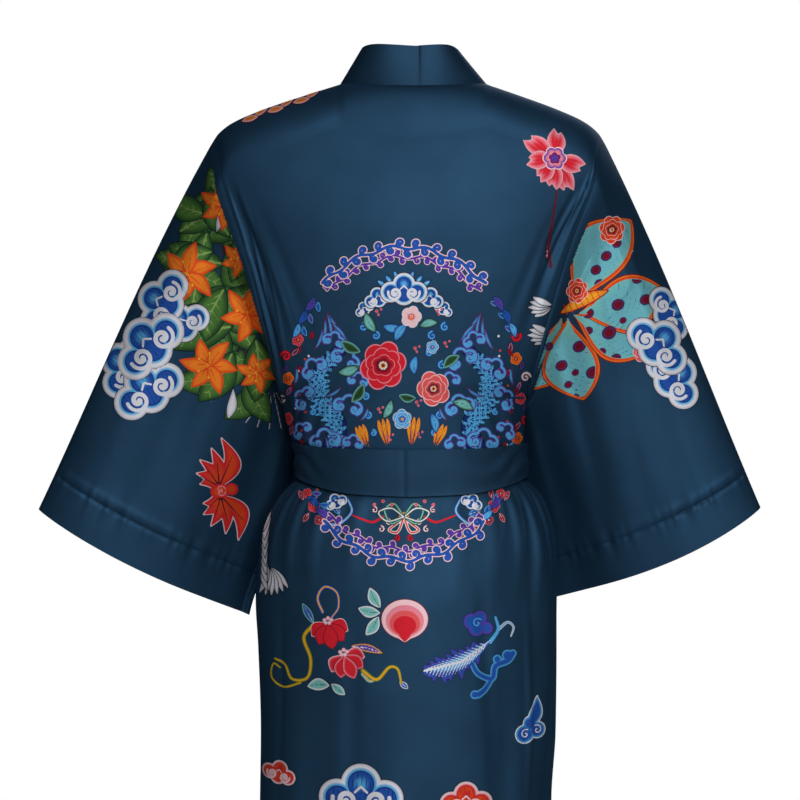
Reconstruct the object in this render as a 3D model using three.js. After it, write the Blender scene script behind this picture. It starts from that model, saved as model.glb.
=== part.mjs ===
// Belted kimono robe in its worn shape, hollow, with open neck, cuffs and hem.
// Millimetres, +Z up, the front faces -Y, the wearer's left is +X.
// The origin is at the nape seam's height on the robe's middle line.
import * as THREE from "three";

const WALL = 1.5; // cloth wall
const SEAM = 0.3; // gap between two pieces at a seam
const TIP_LEFT = 228; // half width at the left shoulder tip
const TIP_RIGHT = 224; // half width at the right shoulder tip
const NECK_X = -4; // middle of the neckline
const NECK_HALF = 84; // half width of the neckline at the shoulder line
const NECK_BACK = 62; // how far behind the shoulder line the nape seam lies
const NECK_DIP = 6; // how far the nape seam dips
const BAND = 48; // neckband width
const BACK_SEAM_X = -10; // seam of the two neckband halves at the nape
const BELT_SEAM_X = 7; // seam of the two belt halves at the back
const FIRST_LEVEL = -150; // below this height every row is level
const UNDERARM = -362; // foot of the armholes
const LAP = 5; // the right front lies this far under the left front
const BELT_GAP = 3.5; // from the cloth's middle to the belt's middle
const BELT_FOOT = -471; // foot of the belt at the middle of the back
const BELT_SAG = 21; // the belt's foot lies lower there than at the sides
const END_LENGTH = 330; // hanging belt ends
const END_WIDTH = 46;
const KNOT_Y = 112.4; // the knot's middle, in front of the origin
const CLOTH = { color: 0x1f3f5b, roughness: 0.42 };
const BAND_CLOTH = { color: 0x1b3850, roughness: 0.42 };

// Height of the shoulder seam from the neckline (share 0) to the tip (share 1),
// and how far below it the cloth has turned down.
const SHOULDER = [
  { share: 0, z: 0, round: 50 },
  { share: 0.28, z: -13, round: 52 },
  { share: 0.62, z: -30, round: 50 },
  { share: 0.84, z: -44, round: 47 },
  { share: 0.945, z: -56, round: 45 },
  { share: 1, z: -68, round: 44 },
];

// Level sections: half widths, depths behind and before the middle, depth of
// the armhole's edge, and the hump exponent (1 is an ellipse).
const LEVELS = [
  { z: -40, left: 228, right: 222, back: 84, front: 66, edgeBack: 62, edgeFront: 50, hump: 1.7 },
  { z: -75, left: 222, right: 219, back: 97, front: 80, edgeBack: 68, edgeFront: 56, hump: 1.7 },
  { z: -125, left: 209, right: 205, back: 108, front: 95, edgeBack: 73, edgeFront: 61, hump: 1.7 },
  { z: -178, left: 191, right: 184, back: 112, front: 106, edgeBack: 75, edgeFront: 63, hump: 1.6 },
  { z: -218, left: 179, right: 171, back: 111, front: 112, edgeBack: 75, edgeFront: 63, hump: 1.45 },
  { z: -283, left: 162, right: 152, back: 105, front: 112, edgeBack: 66, edgeFront: 56, hump: 1.25 },
  { z: -320, left: 154, right: 142, back: 100, front: 107, edgeBack: 52, edgeFront: 44, hump: 1.12 },
  { z: -345, left: 150, right: 135, back: 98, front: 103, edgeBack: 34, edgeFront: 29, hump: 1.04 },
  { z: -362, left: 147, right: 133, back: 96, front: 101, edgeBack: 0, edgeFront: 0, hump: 0.98 },
  { z: -400, left: 138, right: 131, back: 92, front: 97, edgeBack: 0, edgeFront: 0, hump: 0.94 },
  { z: -425, left: 128, right: 130, back: 88, front: 93, edgeBack: 0, edgeFront: 0, hump: 0.93 },
  { z: -447, left: 127, right: 130, back: 86, front: 91, edgeBack: 0, edgeFront: 0, hump: 0.92 },
  { z: -466, left: 144, right: 145, back: 89, front: 93, edgeBack: 0, edgeFront: 0, hump: 0.92 },
  { z: -485, left: 157, right: 155, back: 95, front: 96, edgeBack: 0, edgeFront: 0, hump: 0.92 },
  { z: -510, left: 168, right: 163, back: 104, front: 99, edgeBack: 0, edgeFront: 0, hump: 0.92 },
  { z: -540, left: 174, right: 167, back: 112, front: 102, edgeBack: 0, edgeFront: 0, hump: 0.92 },
  { z: -590, left: 177, right: 168, back: 119, front: 106, edgeBack: 0, edgeFront: 0, hump: 0.9 },
  { z: -646, left: 174, right: 168, back: 121, front: 109, edgeBack: 0, edgeFront: 0, hump: 0.88 },
  { z: -740, left: 171, right: 167, back: 121, front: 113, edgeBack: 0, edgeFront: 0, hump: 0.86 },
  { z: -822, left: 172, right: 162, back: 121, front: 116, edgeBack: 0, edgeFront: 0, hump: 0.85 },
  { z: -950, left: 174, right: 164, back: 122, front: 120, edgeBack: 0, edgeFront: 0, hump: 0.84 },
  { z: -1080, left: 176, right: 167, back: 124, front: 124, edgeBack: 0, edgeFront: 0, hump: 0.84 },
  { z: -1220, left: 178, right: 170, back: 126, front: 128, edgeBack: 0, edgeFront: 0, hump: 0.84 },
];

// Folds and gathers: angle from the middle of the face at the strongest point,
// drift of that angle to the foot, half width in degrees, height outwards,
// and the heights where the fold starts, is strongest and ends.
const FOLDS = [
  { face: 1, deg: -84, drift: 1, wide: 4.5, out: 3.2, top: -446, peak: -476, foot: -640 },
  { face: 1, deg: -73, drift: 4, wide: 4.5, out: 3.6, top: -448, peak: -480, foot: -660 },
  { face: 1, deg: -62, drift: 6, wide: 4.5, out: 3.4, top: -450, peak: -484, foot: -640 },
  { face: 1, deg: -51, drift: 6, wide: 4.5, out: 2.6, top: -455, peak: -486, foot: -600 },
  { face: 1, deg: -37, drift: 4, wide: 6, out: 1.8, top: -458, peak: -488, foot: -590 },
  { face: 1, deg: -20, drift: 2, wide: 6.5, out: 1.7, top: -460, peak: -490, foot: -610 },
  { face: 1, deg: 3, drift: -1, wide: 7, out: 1.5, top: -460, peak: -490, foot: -600 },
  { face: 1, deg: 24, drift: -2, wide: 6, out: 1.6, top: -460, peak: -490, foot: -600 },
  { face: 1, deg: 42, drift: -4, wide: 5.5, out: 2.2, top: -456, peak: -486, foot: -610 },
  { face: 1, deg: 55, drift: -5, wide: 4.5, out: 2.6, top: -452, peak: -484, foot: -600 },
  { face: 1, deg: 67, drift: -5, wide: 4.5, out: 2.8, top: -449, peak: -480, foot: -610 },
  { face: 1, deg: 80, drift: -3, wide: 4.5, out: 2.6, top: -446, peak: -476, foot: -620 },
  { face: 1, deg: -40, drift: -8, wide: 11, out: -4.5, top: -600, peak: -800, foot: -1225 },
  { face: 1, deg: 40, drift: 6, wide: 13, out: -4, top: -620, peak: -860, foot: -1225 },
  { face: 1, deg: 8, drift: 4, wide: 14, out: 3.5, top: -640, peak: -900, foot: -1225 },
  { face: 1, deg: 58, drift: 8, wide: 9, out: 4, top: -290, peak: -392, foot: -425 },
  { face: 1, deg: -60, drift: -8, wide: 9, out: 3.5, top: -290, peak: -392, foot: -425 },
  { face: 1, deg: -66, drift: 10, wide: 9, out: -5, top: -95, peak: -190, foot: -330 },
  { face: 1, deg: 68, drift: -8, wide: 9, out: -4, top: -95, peak: -200, foot: -330 },
  { face: -1, deg: -76, drift: 3, wide: 6, out: 2.6, top: -448, peak: -480, foot: -640 },
  { face: -1, deg: -58, drift: 4, wide: 7, out: 2.8, top: -450, peak: -484, foot: -650 },
  { face: -1, deg: -38, drift: 3, wide: 7, out: 2.4, top: -455, peak: -486, foot: -620 },
  { face: -1, deg: 76, drift: -3, wide: 6, out: 2.6, top: -448, peak: -480, foot: -640 },
  { face: -1, deg: 58, drift: -4, wide: 7, out: 2.8, top: -450, peak: -484, foot: -650 },
  { face: -1, deg: 38, drift: -3, wide: 7, out: 2.4, top: -455, peak: -486, foot: -620 },
  { face: -1, deg: 66, drift: 4, wide: 12, out: -4, top: -640, peak: -880, foot: -1225 },
  { face: -1, deg: -66, drift: -4, wide: 12, out: -4, top: -640, peak: -860, foot: -1225 },
];

// The seam that joins a front to its neckband: distance from the middle line
// on the wearer's own side, negative past the middle.
const FRONT_EDGE = [
  { z: -40, x: 79 },
  { z: -120, x: 75 },
  { z: -180, x: 66 },
  { z: -240, x: 54 },
  { z: -300, x: 37 },
  { z: -360, x: 13 },
  { z: -420, x: -12 },
  { z: -447, x: -20 },
  { z: -520, x: -29 },
  { z: -700, x: -34 },
  { z: -1220, x: -38 },
];

// Belt edges against the angle round the waist, 0 at the back.
const BELT = [
  { deg: 0, top: -418, foot: -471, out: 0 },
  { deg: 30, top: -417, foot: -468, out: 0 },
  { deg: 45, top: -416, foot: -463, out: 0 },
  { deg: 62, top: -413, foot: -456, out: 0 },
  { deg: 80, top: -411, foot: -450, out: 0 },
  { deg: 100, top: -411, foot: -449, out: 0.5 },
  { deg: 140, top: -413, foot: -449, out: 2.5 },
  { deg: 180, top: -415, foot: -449, out: 4 },
];

// Sleeves: outer (arm) edge and inner (hanging) edge at the cuff, the outer
// edge's bow, how far the inner edge tucks in behind the body, and how far the
// cuff's middle hangs below its ends.
const SLEEVES = {
  left: { sign: 1, outerX: 428, outerY: -12, outerZ: -488, innerX: 188, innerY: -66, innerZ: -613, bow: 5.5, tuck: 27, sag: 9 },
  right: { sign: -1, outerX: 404, outerY: -12, outerZ: -486, innerX: 164, innerY: -70, innerZ: -594, bow: 4.5, tuck: 12, sag: 15 },
};

// Half depths of the sleeve behind and before its middle, from armhole to cuff.
const SLEEVE_DEPTH = [
  { t: 0, back: 75, front: 63 },
  { t: 0.25, back: 64, front: 56 },
  { t: 0.5, back: 53, front: 50 },
  { t: 0.75, back: 47, front: 46 },
  { t: 1, back: 44, front: 44 },
];

// Long soft folds of the sleeves: place across from the arm edge (0) to the
// hanging edge (1) at the armhole and at the cuff, half width, height, start
// and end along the sleeve.
const SLEEVE_FOLDS = [
  { face: 1, at: 0.42, to: 0.6, wide: 0.13, out: 6, start: 0.12, end: 1.05 },
  { face: 1, at: 0.75, to: 0.82, wide: 0.1, out: -5, start: 0.15, end: 0.95 },
  { face: 1, at: 0.25, to: 0.3, wide: 0.12, out: -3.5, start: 0.3, end: 1.1 },
  { face: -1, at: 0.4, to: 0.55, wide: 0.14, out: 5, start: 0.12, end: 1.05 },
  { face: -1, at: 0.7, to: 0.8, wide: 0.12, out: -4, start: 0.2, end: 0.95 },
];

const ROWS_ROUND = [0, 0.22, 0.45, 0.7, 1, 1.5];
const ROWS_LEVEL = [FIRST_LEVEL, -185, -218, -252, -285, -312, -335, -351, UNDERARM];
const ROWS_BELOW = [-385, -406, -425, -447, -466, -483, -505, -535, -580, -640, -725, -822, -950, -1085, -1220];
const SLEEVE_ROWS = [0, 0.035, 0.09, 0.17, 0.26, 0.36, 0.46, 0.56, 0.66, 0.76, 0.84, 0.9, 0.95, 1];
const BACK_COLUMNS = 44;
const FRONT_COLUMNS = 17;

const rad = (deg) => (deg * Math.PI) / 180;
const mix = (a, b, t) => a + (b - a) * t;
const smooth = (t) => {
  const c = Math.min(1, Math.max(0, t));
  return c * c * (3 - 2 * c);
};

// A table's column at x, without overshoot between its rows.
function at(table, key, x, column) {
  const up = table[0][key] < table[table.length - 1][key] ? 1 : -1;
  let k = 0;
  while (k < table.length - 2 && (x - table[k + 1][key]) * up > 0) k++;
  const slope = (i) => (table[i + 1][column] - table[i][column]) / (table[i + 1][key] - table[i][key]);
  const tangent = (i) => {
    if (i === 0) return slope(0);
    if (i === table.length - 1) return slope(i - 1);
    const a = slope(i - 1), b = slope(i);
    return a * b <= 0 ? 0 : (2 * a * b) / (a + b);
  };
  const h = table[k + 1][key] - table[k][key];
  const t = Math.min(1, Math.max(0, (x - table[k][key]) / h));
  const p = table[k][column], q = table[k + 1][column];
  return (
    (2 * t ** 3 - 3 * t ** 2 + 1) * p +
    (t ** 3 - 2 * t ** 2 + t) * h * tangent(k) +
    (-2 * t ** 3 + 3 * t ** 2) * q +
    (t ** 3 - t ** 2) * h * tangent(k + 1)
  );
}

function foldHeight(deg, z, face) {
  let sum = 0;
  for (const f of FOLDS) {
    if (f.face !== face || z > f.top || z < f.foot) continue;
    const rise = z > f.peak ? smooth((f.top - z) / (f.top - f.peak)) : 1;
    const fall = z < f.peak ? smooth((z - f.foot) / (f.peak - f.foot)) : 1;
    const centre = f.deg + (f.drift * (f.peak - z)) / (f.peak - f.foot);
    const across = Math.abs(deg - centre) / f.wide;
    if (across < 1) sum += f.out * rise * fall * Math.cos((across * Math.PI) / 2) ** 2;
  }
  return sum;
}

// The cloth's middle surface at an angle from the middle of the back (face 1)
// or of the front (face -1), at a height below the shoulders' rounding.
function section(deg, z, face) {
  const c = Math.max(0, Math.cos(rad(deg)));
  const waist = z > BELT_FOOT ? smooth((z + 395) / (BELT_FOOT + 395)) : smooth((z + 640) / (BELT_FOOT + 640));
  const level = z + (face > 0 ? BELT_SAG * c * c * waist : 0);
  const width = at(LEVELS, "z", level, deg >= 0 ? "left" : "right");
  const depth = at(LEVELS, "z", level, face > 0 ? "back" : "front");
  const edge = at(LEVELS, "z", z, face > 0 ? "edgeBack" : "edgeFront");
  const hump = at(LEVELS, "z", level, "hump");
  const p = new THREE.Vector3(width * Math.sin(rad(deg)), face * (edge + (depth - edge) * c ** hump), z);
  const out = new THREE.Vector3(p.x / (width * width), p.y / (depth * depth), 0).normalize();
  const calm = smooth((90 - Math.abs(deg)) / 5);
  return p.addScaledVector(out, foldHeight(deg, z, face) * calm);
}

// Angle of a place on the front at x.
function angleAt(x, z) {
  const width = at(LEVELS, "z", z, x >= 0 ? "left" : "right");
  return (Math.asin(Math.min(1, Math.max(-1, x / width))) * 180) / Math.PI;
}

// Top of a column: on the neckline between the shoulder lines, else on them.
function top(x, face) {
  const from = Math.abs(x - NECK_X);
  if (from < NECK_HALF) {
    const q = from / NECK_HALF;
    return { p: new THREE.Vector3(x, face * NECK_BACK * Math.sqrt(1 - q * q), -NECK_DIP * (1 - q * q)), round: mix(58, 50, q) };
  }
  const tip = x > NECK_X ? TIP_LEFT - NECK_X : TIP_RIGHT + NECK_X;
  const share = (from - NECK_HALF) / (tip - NECK_HALF);
  return { p: new THREE.Vector3(x, 0, at(SHOULDER, "share", share, "z")), round: at(SHOULDER, "share", share, "round") };
}

// A row is a part of the shoulder's rounding (0 to 1), of the way from its foot
// to the first level (1 to 2), or a height.
function columnPoint(topX, angleOf, row, face) {
  if (row < -2) return section(angleOf(row), row, face);
  const { p, round } = top(topX, face);
  const footZ = p.z - round;
  if (row > 1) {
    const z = mix(footZ, FIRST_LEVEL, row - 1);
    return section(angleOf(z), z, face);
  }
  const foot = section(angleOf(footZ), footZ, face);
  const turn = Math.sin((row * Math.PI) / 2);
  return new THREE.Vector3(mix(p.x, foot.x, turn), mix(p.y, foot.y, turn), p.z - round * (1 - Math.cos((row * Math.PI) / 2)));
}

const ROWS = [...ROWS_ROUND, ...ROWS_LEVEL, ...ROWS_BELOW];
const ROWS_TO_UNDERARM = ROWS_ROUND.length + ROWS_LEVEL.length;

function bodyEdge(sign, row, face) {
  const tip = sign > 0 ? TIP_LEFT : -TIP_RIGHT;
  return columnPoint(tip, () => 90 * sign, row, face);
}

function backGrid() {
  return ROWS.map((row) =>
    Array.from({ length: BACK_COLUMNS + 1 }, (_, k) => {
      const deg = mix(90, -90, k / BACK_COLUMNS);
      const tip = deg >= 0 ? TIP_LEFT : TIP_RIGHT;
      return columnPoint(tip * Math.sin(rad(deg)), () => deg, row, 1);
    }),
  );
}

// How far the right front lies under the left one.
function lapDepth(x, z) {
  return LAP * smooth((x + 142) / 36) * smooth((-52 - z) / 70);
}

function edgeX(sign, z) {
  return sign * at(FRONT_EDGE, "z", z, "x") + (z > -400 ? NECK_X * smooth((z + 400) / 300) : 0);
}

// A front from its neckband's seam (across = 0) to the side (across = 1).
function frontPoint(sign, across, row) {
  const tip = sign > 0 ? TIP_LEFT : TIP_RIGHT;
  const start = (Math.asin(((sign > 0 ? NECK_HALF + NECK_X : NECK_HALF - NECK_X) + 0.01) / tip) * 180) / Math.PI;
  const topX = sign * tip * Math.sin(rad(mix(start, 90, across)));
  const angleOf = (z) => mix(angleAt(edgeX(sign, z), z), 90 * sign, across);
  const p = columnPoint(topX, angleOf, row, -1);
  return sign > 0 ? p : sink(p);
}

function sink(p) {
  const out = new THREE.Vector3(p.x / 26000, p.y / 11000, 0).normalize();
  return p.addScaledVector(out, -lapDepth(p.x, p.z));
}

function frontGrid(sign) {
  return ROWS.map((row) => Array.from({ length: FRONT_COLUMNS + 1 }, (_, k) => frontPoint(sign, (k / FRONT_COLUMNS) ** 0.96, row)));
}

// The neckband: its seam from the nape over the shoulder and down the front,
// and its free edge, standing at the neck and lying flat on the chest.
function bandGrid(sign) {
  const rows = [], lift = [];
  const across = [0, 0.5, 1];
  const start = BACK_SEAM_X, end = NECK_X + sign * NECK_HALF;
  const backTurns = 7;
  const standing = (q) => new THREE.Vector3(-sign * mix(2, sign > 0 ? 23 : 32, q * q), mix(-13, 2, q), mix(47, 38, q * q));
  for (let k = 0; k < backTurns; k++) {
    const from = Math.asin((start - NECK_X) / NECK_HALF), to = Math.asin((end - NECK_X) / NECK_HALF);
    const x = NECK_X + NECK_HALF * Math.sin(mix(from, to, k / backTurns));
    const q = Math.abs(x - NECK_X) / NECK_HALF;
    const seam = top(x, 1).p;
    const up = standing(q).setLength(BAND);
    if (k === 0) up.x = 0;
    rows.push(across.map((a) => seam.clone().addScaledVector(up, a)));
    lift.push(WALL / 2 + SEAM + 0.4);
  }
  for (const row of ROWS) {
    const seam = frontPoint(sign, 0, row);
    const lying = flatWay(sign, seam);
    const up = standing(1).setLength(BAND);
    const turn = smooth((-seam.z - 2) / 105);
    lift.push(mix(WALL / 2 + SEAM + 0.4, SEAM / 2 + 0.02, smooth(turn * 2)));
    rows.push(
      across.map((a) => {
        const flat = lying(a);
        const stood = seam.clone().addScaledVector(up, a);
        return stood.lerp(flat, turn);
      }),
    );
  }
  rows.forEach((row, i) => row[0].add(row[1].clone().sub(row[0]).setLength(lift[i])));
  return rows;
}

// Points of the band lying on the front, at equal steps from its seam.
function flatWay(sign, seam) {
  const z = Math.min(seam.z, -60);
  const lean = smooth((seam.z + 420) / 120) * 17;
  const on = (x) => {
    const p = section(angleAt(x, z), z, -1);
    return sign < 0 ? sink(p) : p;
  };
  const start = edgeX(sign, z);
  const shift = seam.clone().sub(on(start));
  return (a) => {
    const p = on(start - sign * BAND * a * (z > -400 ? 0.93 : 1)).add(shift);
    p.z = seam.z + lean * a;
    return p;
  };
}

function ringPlaces(sign, face) {
  const edge = ROWS.slice(0, ROWS_TO_UNDERARM).map((row) => bodyEdge(sign, row, face));
  const along = [0];
  for (let k = 1; k < edge.length; k++) along.push(along[k - 1] + edge[k].distanceTo(edge[k - 1]));
  return edge.map((p, k) => ({ p, s: along[k] / along[along.length - 1] }));
}

function sleevePoint(cut, t, place, face) {
  const tip = new THREE.Vector3(cut.sign * (cut.sign > 0 ? TIP_LEFT : TIP_RIGHT), 0, at(SHOULDER, "share", 1, "z"));
  const foot = bodyEdge(cut.sign, UNDERARM, face);
  const s = place.s;
  const base = (u) => {
    const outer = new THREE.Vector3(mix(tip.x, cut.sign * cut.outerX, u) + cut.sign * cut.bow * 6.75 * u * (1 - u) ** 2, mix(tip.y, cut.outerY, u), mix(tip.z, cut.outerZ, u));
    const inner = new THREE.Vector3(mix(foot.x, cut.sign * cut.innerX, u), cut.innerY * smooth(u / 0.3), mix(foot.z, cut.innerZ, u));
    inner.x -= cut.sign * cut.tuck * smooth((u - 0.05) / 0.2) * (1 - smooth((u - 0.4) / 0.62));
    const p = outer.lerp(inner, s);
    const lens = Math.sin(Math.PI * s ** 0.82) ** 0.72;
    p.y += face * at(SLEEVE_DEPTH, "t", u, face > 0 ? "back" : "front") * (s > 0 && s < 1 ? lens : 0);
    p.z -= cut.sag * u * u * Math.sin(Math.PI * s ** 0.8);
    return p;
  };
  const p = base(t);
  const keep = 1 - smooth(t / 0.7);
  p.addScaledVector(place.p.clone().sub(base(0)), keep);
  for (const f of SLEEVE_FOLDS) {
    if (f.face !== face || t < f.start || t > f.end) continue;
    const along = (t - f.start) / (f.end - f.start);
    const across = Math.abs(s - mix(f.at, f.to, t)) / f.wide;
    if (across < 1) p.y += face * f.out * Math.sin(Math.PI * Math.sqrt(along)) * Math.cos((across * Math.PI) / 2) ** 2;
  }
  return p;
}

function sleeveGrid(cut) {
  const back = ringPlaces(cut.sign, 1), front = ringPlaces(cut.sign, -1);
  const ring = [...back.map((q) => ({ ...q, face: 1 })), ...front.slice(1, -1).reverse().map((q) => ({ ...q, face: -1 }))];
  return SLEEVE_ROWS.map((t) => ring.map((q) => sleevePoint(cut, t, q, q.face)));
}

function beltPoint(sign, deg, share) {
  const face = deg <= 90 ? 1 : -1;
  const own = face > 0 ? deg : 180 - deg;
  const z = mix(at(BELT, "deg", deg, "top"), at(BELT, "deg", deg, "foot"), share);
  const p = section(sign * own, z, face);
  const out = new THREE.Vector3(p.x / 17500, p.y / 7900, 0).normalize();
  return p.addScaledVector(out, BELT_GAP + at(BELT, "deg", deg, "out") + 1.2 * Math.sin(Math.PI * share) + 2 * share * share);
}

function beltGrid(sign) {
  const from = (Math.asin(BELT_SEAM_X / 132) * 180) / Math.PI * sign;
  const steps = 26;
  return Array.from({ length: steps + 1 }, (_, k) => {
    const deg = mix(from, 176, k / steps);
    return [0, 0.5, 1].map((share) => (deg < 0 ? beltPoint(-sign, -deg, share) : beltPoint(sign, deg, share)));
  });
}

function beltEndGrid(sign) {
  const rows = 9, columns = 3;
  const top = new THREE.Vector3(sign * 15, -(KNOT_Y - 1), -450.1);
  return Array.from({ length: rows + 1 }, (_, i) => {
    const t = i / rows;
    const length = END_LENGTH - (sign > 0 ? 0 : 22);
    return Array.from({ length: columns + 1 }, (_, j) => {
      const s = j / columns - 0.5;
      const wide = mix(26, END_WIDTH, smooth(t * 3));
      const x = top.x + sign * 34 * t + s * wide;
      const z = top.z - length * t + s * sign * 4;
      const rest = section(angleAt(x, z), z, -1).y - 6 - 5 * t;
      const y = Math.min(mix(top.y, rest, smooth(t * 4)), rest) - 2.5 * Math.cos(s * Math.PI * 2) * (1 - 0.5 * t);
      return new THREE.Vector3(x, y, z);
    });
  });
}

function normals(grid, ring) {
  const last = grid[0].length - 1;
  return grid.map((row, i) =>
    row.map((_, j) => {
      const down = grid[Math.min(i + 1, grid.length - 1)][j].clone().sub(grid[Math.max(i - 1, 0)][j]);
      const right = ring ? (j + 1) % row.length : Math.min(j + 1, last);
      const left = ring ? (j + row.length - 1) % row.length : Math.max(j - 1, 0);
      const over = grid[i][right].clone().sub(grid[i][left]);
      return down.cross(over).normalize();
    }),
  );
}

// A closed wall on both sides of a grid of points, open or a ring across.
function wall(grid, { ring = false, own = null } = {}) {
  const n = own ?? normals(grid, ring);
  const rows = grid.length, columns = grid[0].length, count = rows * columns;
  const position = [];
  for (const half of [WALL / 2, -WALL / 2])
    for (let i = 0; i < rows; i++)
      for (let j = 0; j < columns; j++) position.push(...grid[i][j].clone().addScaledVector(n[i][j], half).toArray());
  const index = [];
  const quad = (a, b, c, d) => index.push(a, b, c, a, c, d);
  const cells = ring ? columns : columns - 1;
  for (let i = 0; i < rows - 1; i++)
    for (let j = 0; j < cells; j++) {
      const k = (j + 1) % columns;
      const a = i * columns + j, b = (i + 1) * columns + j, c = (i + 1) * columns + k, d = i * columns + k;
      quad(a, b, c, d);
      quad(a + count, d + count, c + count, b + count);
    }
  for (let j = 0; j < cells; j++) {
    const k = (j + 1) % columns, z = (rows - 1) * columns;
    quad(j, k, k + count, j + count);
    quad(z + k, z + j, z + j + count, z + k + count);
  }
  if (!ring)
    for (let i = 0; i < rows - 1; i++) {
      const a = i * columns, b = (i + 1) * columns, c = a + columns - 1, d = b + columns - 1;
      quad(b, a, a + count, b + count);
      quad(c, d, d + count, c + count);
    }
  const geometry = new THREE.BufferGeometry();
  geometry.setAttribute("position", new THREE.Float32BufferAttribute(position, 3));
  geometry.setIndex(index);
  geometry.computeVertexNormals();
  return geometry;
}

// Draws the edges of a grid back by half a seam's gap.
function pulled(grid, sides) {
  const half = SEAM / 2 + 0.02;
  const rows = grid.length - 1, columns = grid[0].length - 1;
  const back = (edge, inner) => edge.clone().add(inner.clone().sub(edge).setLength(half));
  const out = grid.map((row) => row.map((p) => p.clone()));
  if (sides.top) for (let j = 0; j <= columns; j++) out[0][j] = back(grid[0][j], grid[1][j]);
  if (sides.foot) for (let j = 0; j <= columns; j++) out[rows][j] = back(grid[rows][j], grid[rows - 1][j]);
  if (sides.left) for (let i = 0; i <= rows; i++) out[i][0] = back(out[i][0], out[i][1]);
  if (sides.right) for (let i = 0; i <= rows; i++) out[i][columns] = back(out[i][columns], out[i][columns - 1]);
  return out;
}

const robe = new THREE.Group();
robe.name = "kimono_robe";
function add(name, geometry, look) {
  const mesh = new THREE.Mesh(geometry, new THREE.MeshStandardMaterial({ ...look, metalness: 0 }));
  mesh.name = name;
  robe.add(mesh);
}

// Seam edges of two pieces share their normals, so that their ends stay parallel.
function shoulderNormals(grid, n) {
  n[0] = n[0].map((v, j) => (Math.abs(grid[0][j].x - NECK_X) < NECK_HALF - 1 ? v : v.clone().setY(0).normalize()));
  return n;
}

const backPoints = backGrid();
const backNormals = shoulderNormals(backPoints, normals(backPoints, false));
for (let i = ROWS_TO_UNDERARM - 1; i < ROWS.length; i++)
  for (const [j, x] of [[0, 1], [BACK_COLUMNS, -1]]) backNormals[i][j].set(x, 0, backNormals[i][j].z).normalize();
add("back", wall(pulled(backPoints, { top: true, left: true, right: true }), { own: backNormals }), CLOTH);

const edgeNormals = {
  1: { back: backNormals.map((row) => row[0]), front: null },
  "-1": { back: backNormals.map((row) => row[BACK_COLUMNS]), front: null },
};
// Outward normals of the armhole's edge, in the order of a sleeve's ring.
function ringNormals(sign) {
  const pick = (list, inward) => list.slice(0, ROWS_TO_UNDERARM).map((v) => v.clone().multiplyScalar(inward));
  const back = pick(edgeNormals[sign].back, 1), front = pick(edgeNormals[sign].front, sign);
  return [...back, ...front.slice(1, -1).reverse()];
}
for (const [name, sign] of [["front_left", 1], ["front_right", -1]]) {
  const points = frontGrid(sign);
  const n = shoulderNormals(points, normals(points, false));
  for (let i = ROWS_TO_UNDERARM - 1; i < ROWS.length; i++) n[i][FRONT_COLUMNS].set(1, 0, n[i][FRONT_COLUMNS].z).normalize();
  edgeNormals[sign].front = n.map((row) => row[FRONT_COLUMNS]);
  add(name, wall(pulled(points, { top: true, left: true, right: true }), { own: n }), CLOTH);
}

for (const [name, cut] of [["sleeve_left", SLEEVES.left], ["sleeve_right", SLEEVES.right]]) {
  const points = sleeveGrid(cut);
  const body = ringNormals(cut.sign);
  points[0] = points[0].map((p, j) => {
    const next = points[0][(j + 1) % body.length], last = points[0][(j + body.length - 1) % body.length];
    const away = next.clone().sub(last).cross(body[j]).multiplyScalar(cut.sign).normalize();
    const way = points[1][j].clone().sub(p).normalize();
    const bend = Math.sqrt(Math.max(0, 1 - way.dot(away) ** 2));
    const folded = smooth((0.35 - way.dot(away)) / 0.5);
    return p.clone().addScaledVector(away, SEAM + (WALL / 2 + 0.1) * bend).addScaledVector(body[j], folded * (WALL + SEAM + 0.3));
  });
  add(name, wall(points, { ring: true }), CLOTH);
}

for (const [name, sign] of [["collar_left", 1], ["collar_right", -1]]) {
  const points = pulled(bandGrid(sign), { top: true, left: true });
  add(name, wall(points), BAND_CLOTH);
}

for (const [name, sign] of [["belt_left", 1], ["belt_right", -1]]) {
  const points = pulled(beltGrid(sign), { top: true });
  add(name, wall(points), BAND_CLOTH);
}

for (const [name, sign] of [["belt_end_left", 1], ["belt_end_right", -1]]) add(name, wall(beltEndGrid(sign)), BAND_CLOTH);

// The knot is a packed lump of the belt.
const knot = new THREE.SphereGeometry(1, 20, 12);
knot.scale(27, 11, 22);
knot.translate(0, -KNOT_Y, -430);
add("belt_knot", knot, BAND_CLOTH);

export default robe;
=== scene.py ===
import math
import bpy
import numpy as np
from bpy.props import FloatProperty, FloatVectorProperty, PointerProperty
from bpy.types import Operator, Panel, PropertyGroup
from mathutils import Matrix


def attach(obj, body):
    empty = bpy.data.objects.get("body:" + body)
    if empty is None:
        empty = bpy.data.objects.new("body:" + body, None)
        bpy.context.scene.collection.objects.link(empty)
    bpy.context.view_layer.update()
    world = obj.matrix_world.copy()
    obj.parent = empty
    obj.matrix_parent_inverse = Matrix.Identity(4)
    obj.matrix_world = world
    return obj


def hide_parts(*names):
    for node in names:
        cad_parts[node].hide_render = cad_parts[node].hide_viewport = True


bl_info = {
    "name": "Kimono robe",
    "version": (1, 0, 0),
    "blender": (4, 5, 0),
    "location": "View3D > Sidebar > Robe",
    "description": "Builds a belted satin kimono robe in its worn shape on its solids",
    "category": "Add Mesh",
}

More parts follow.
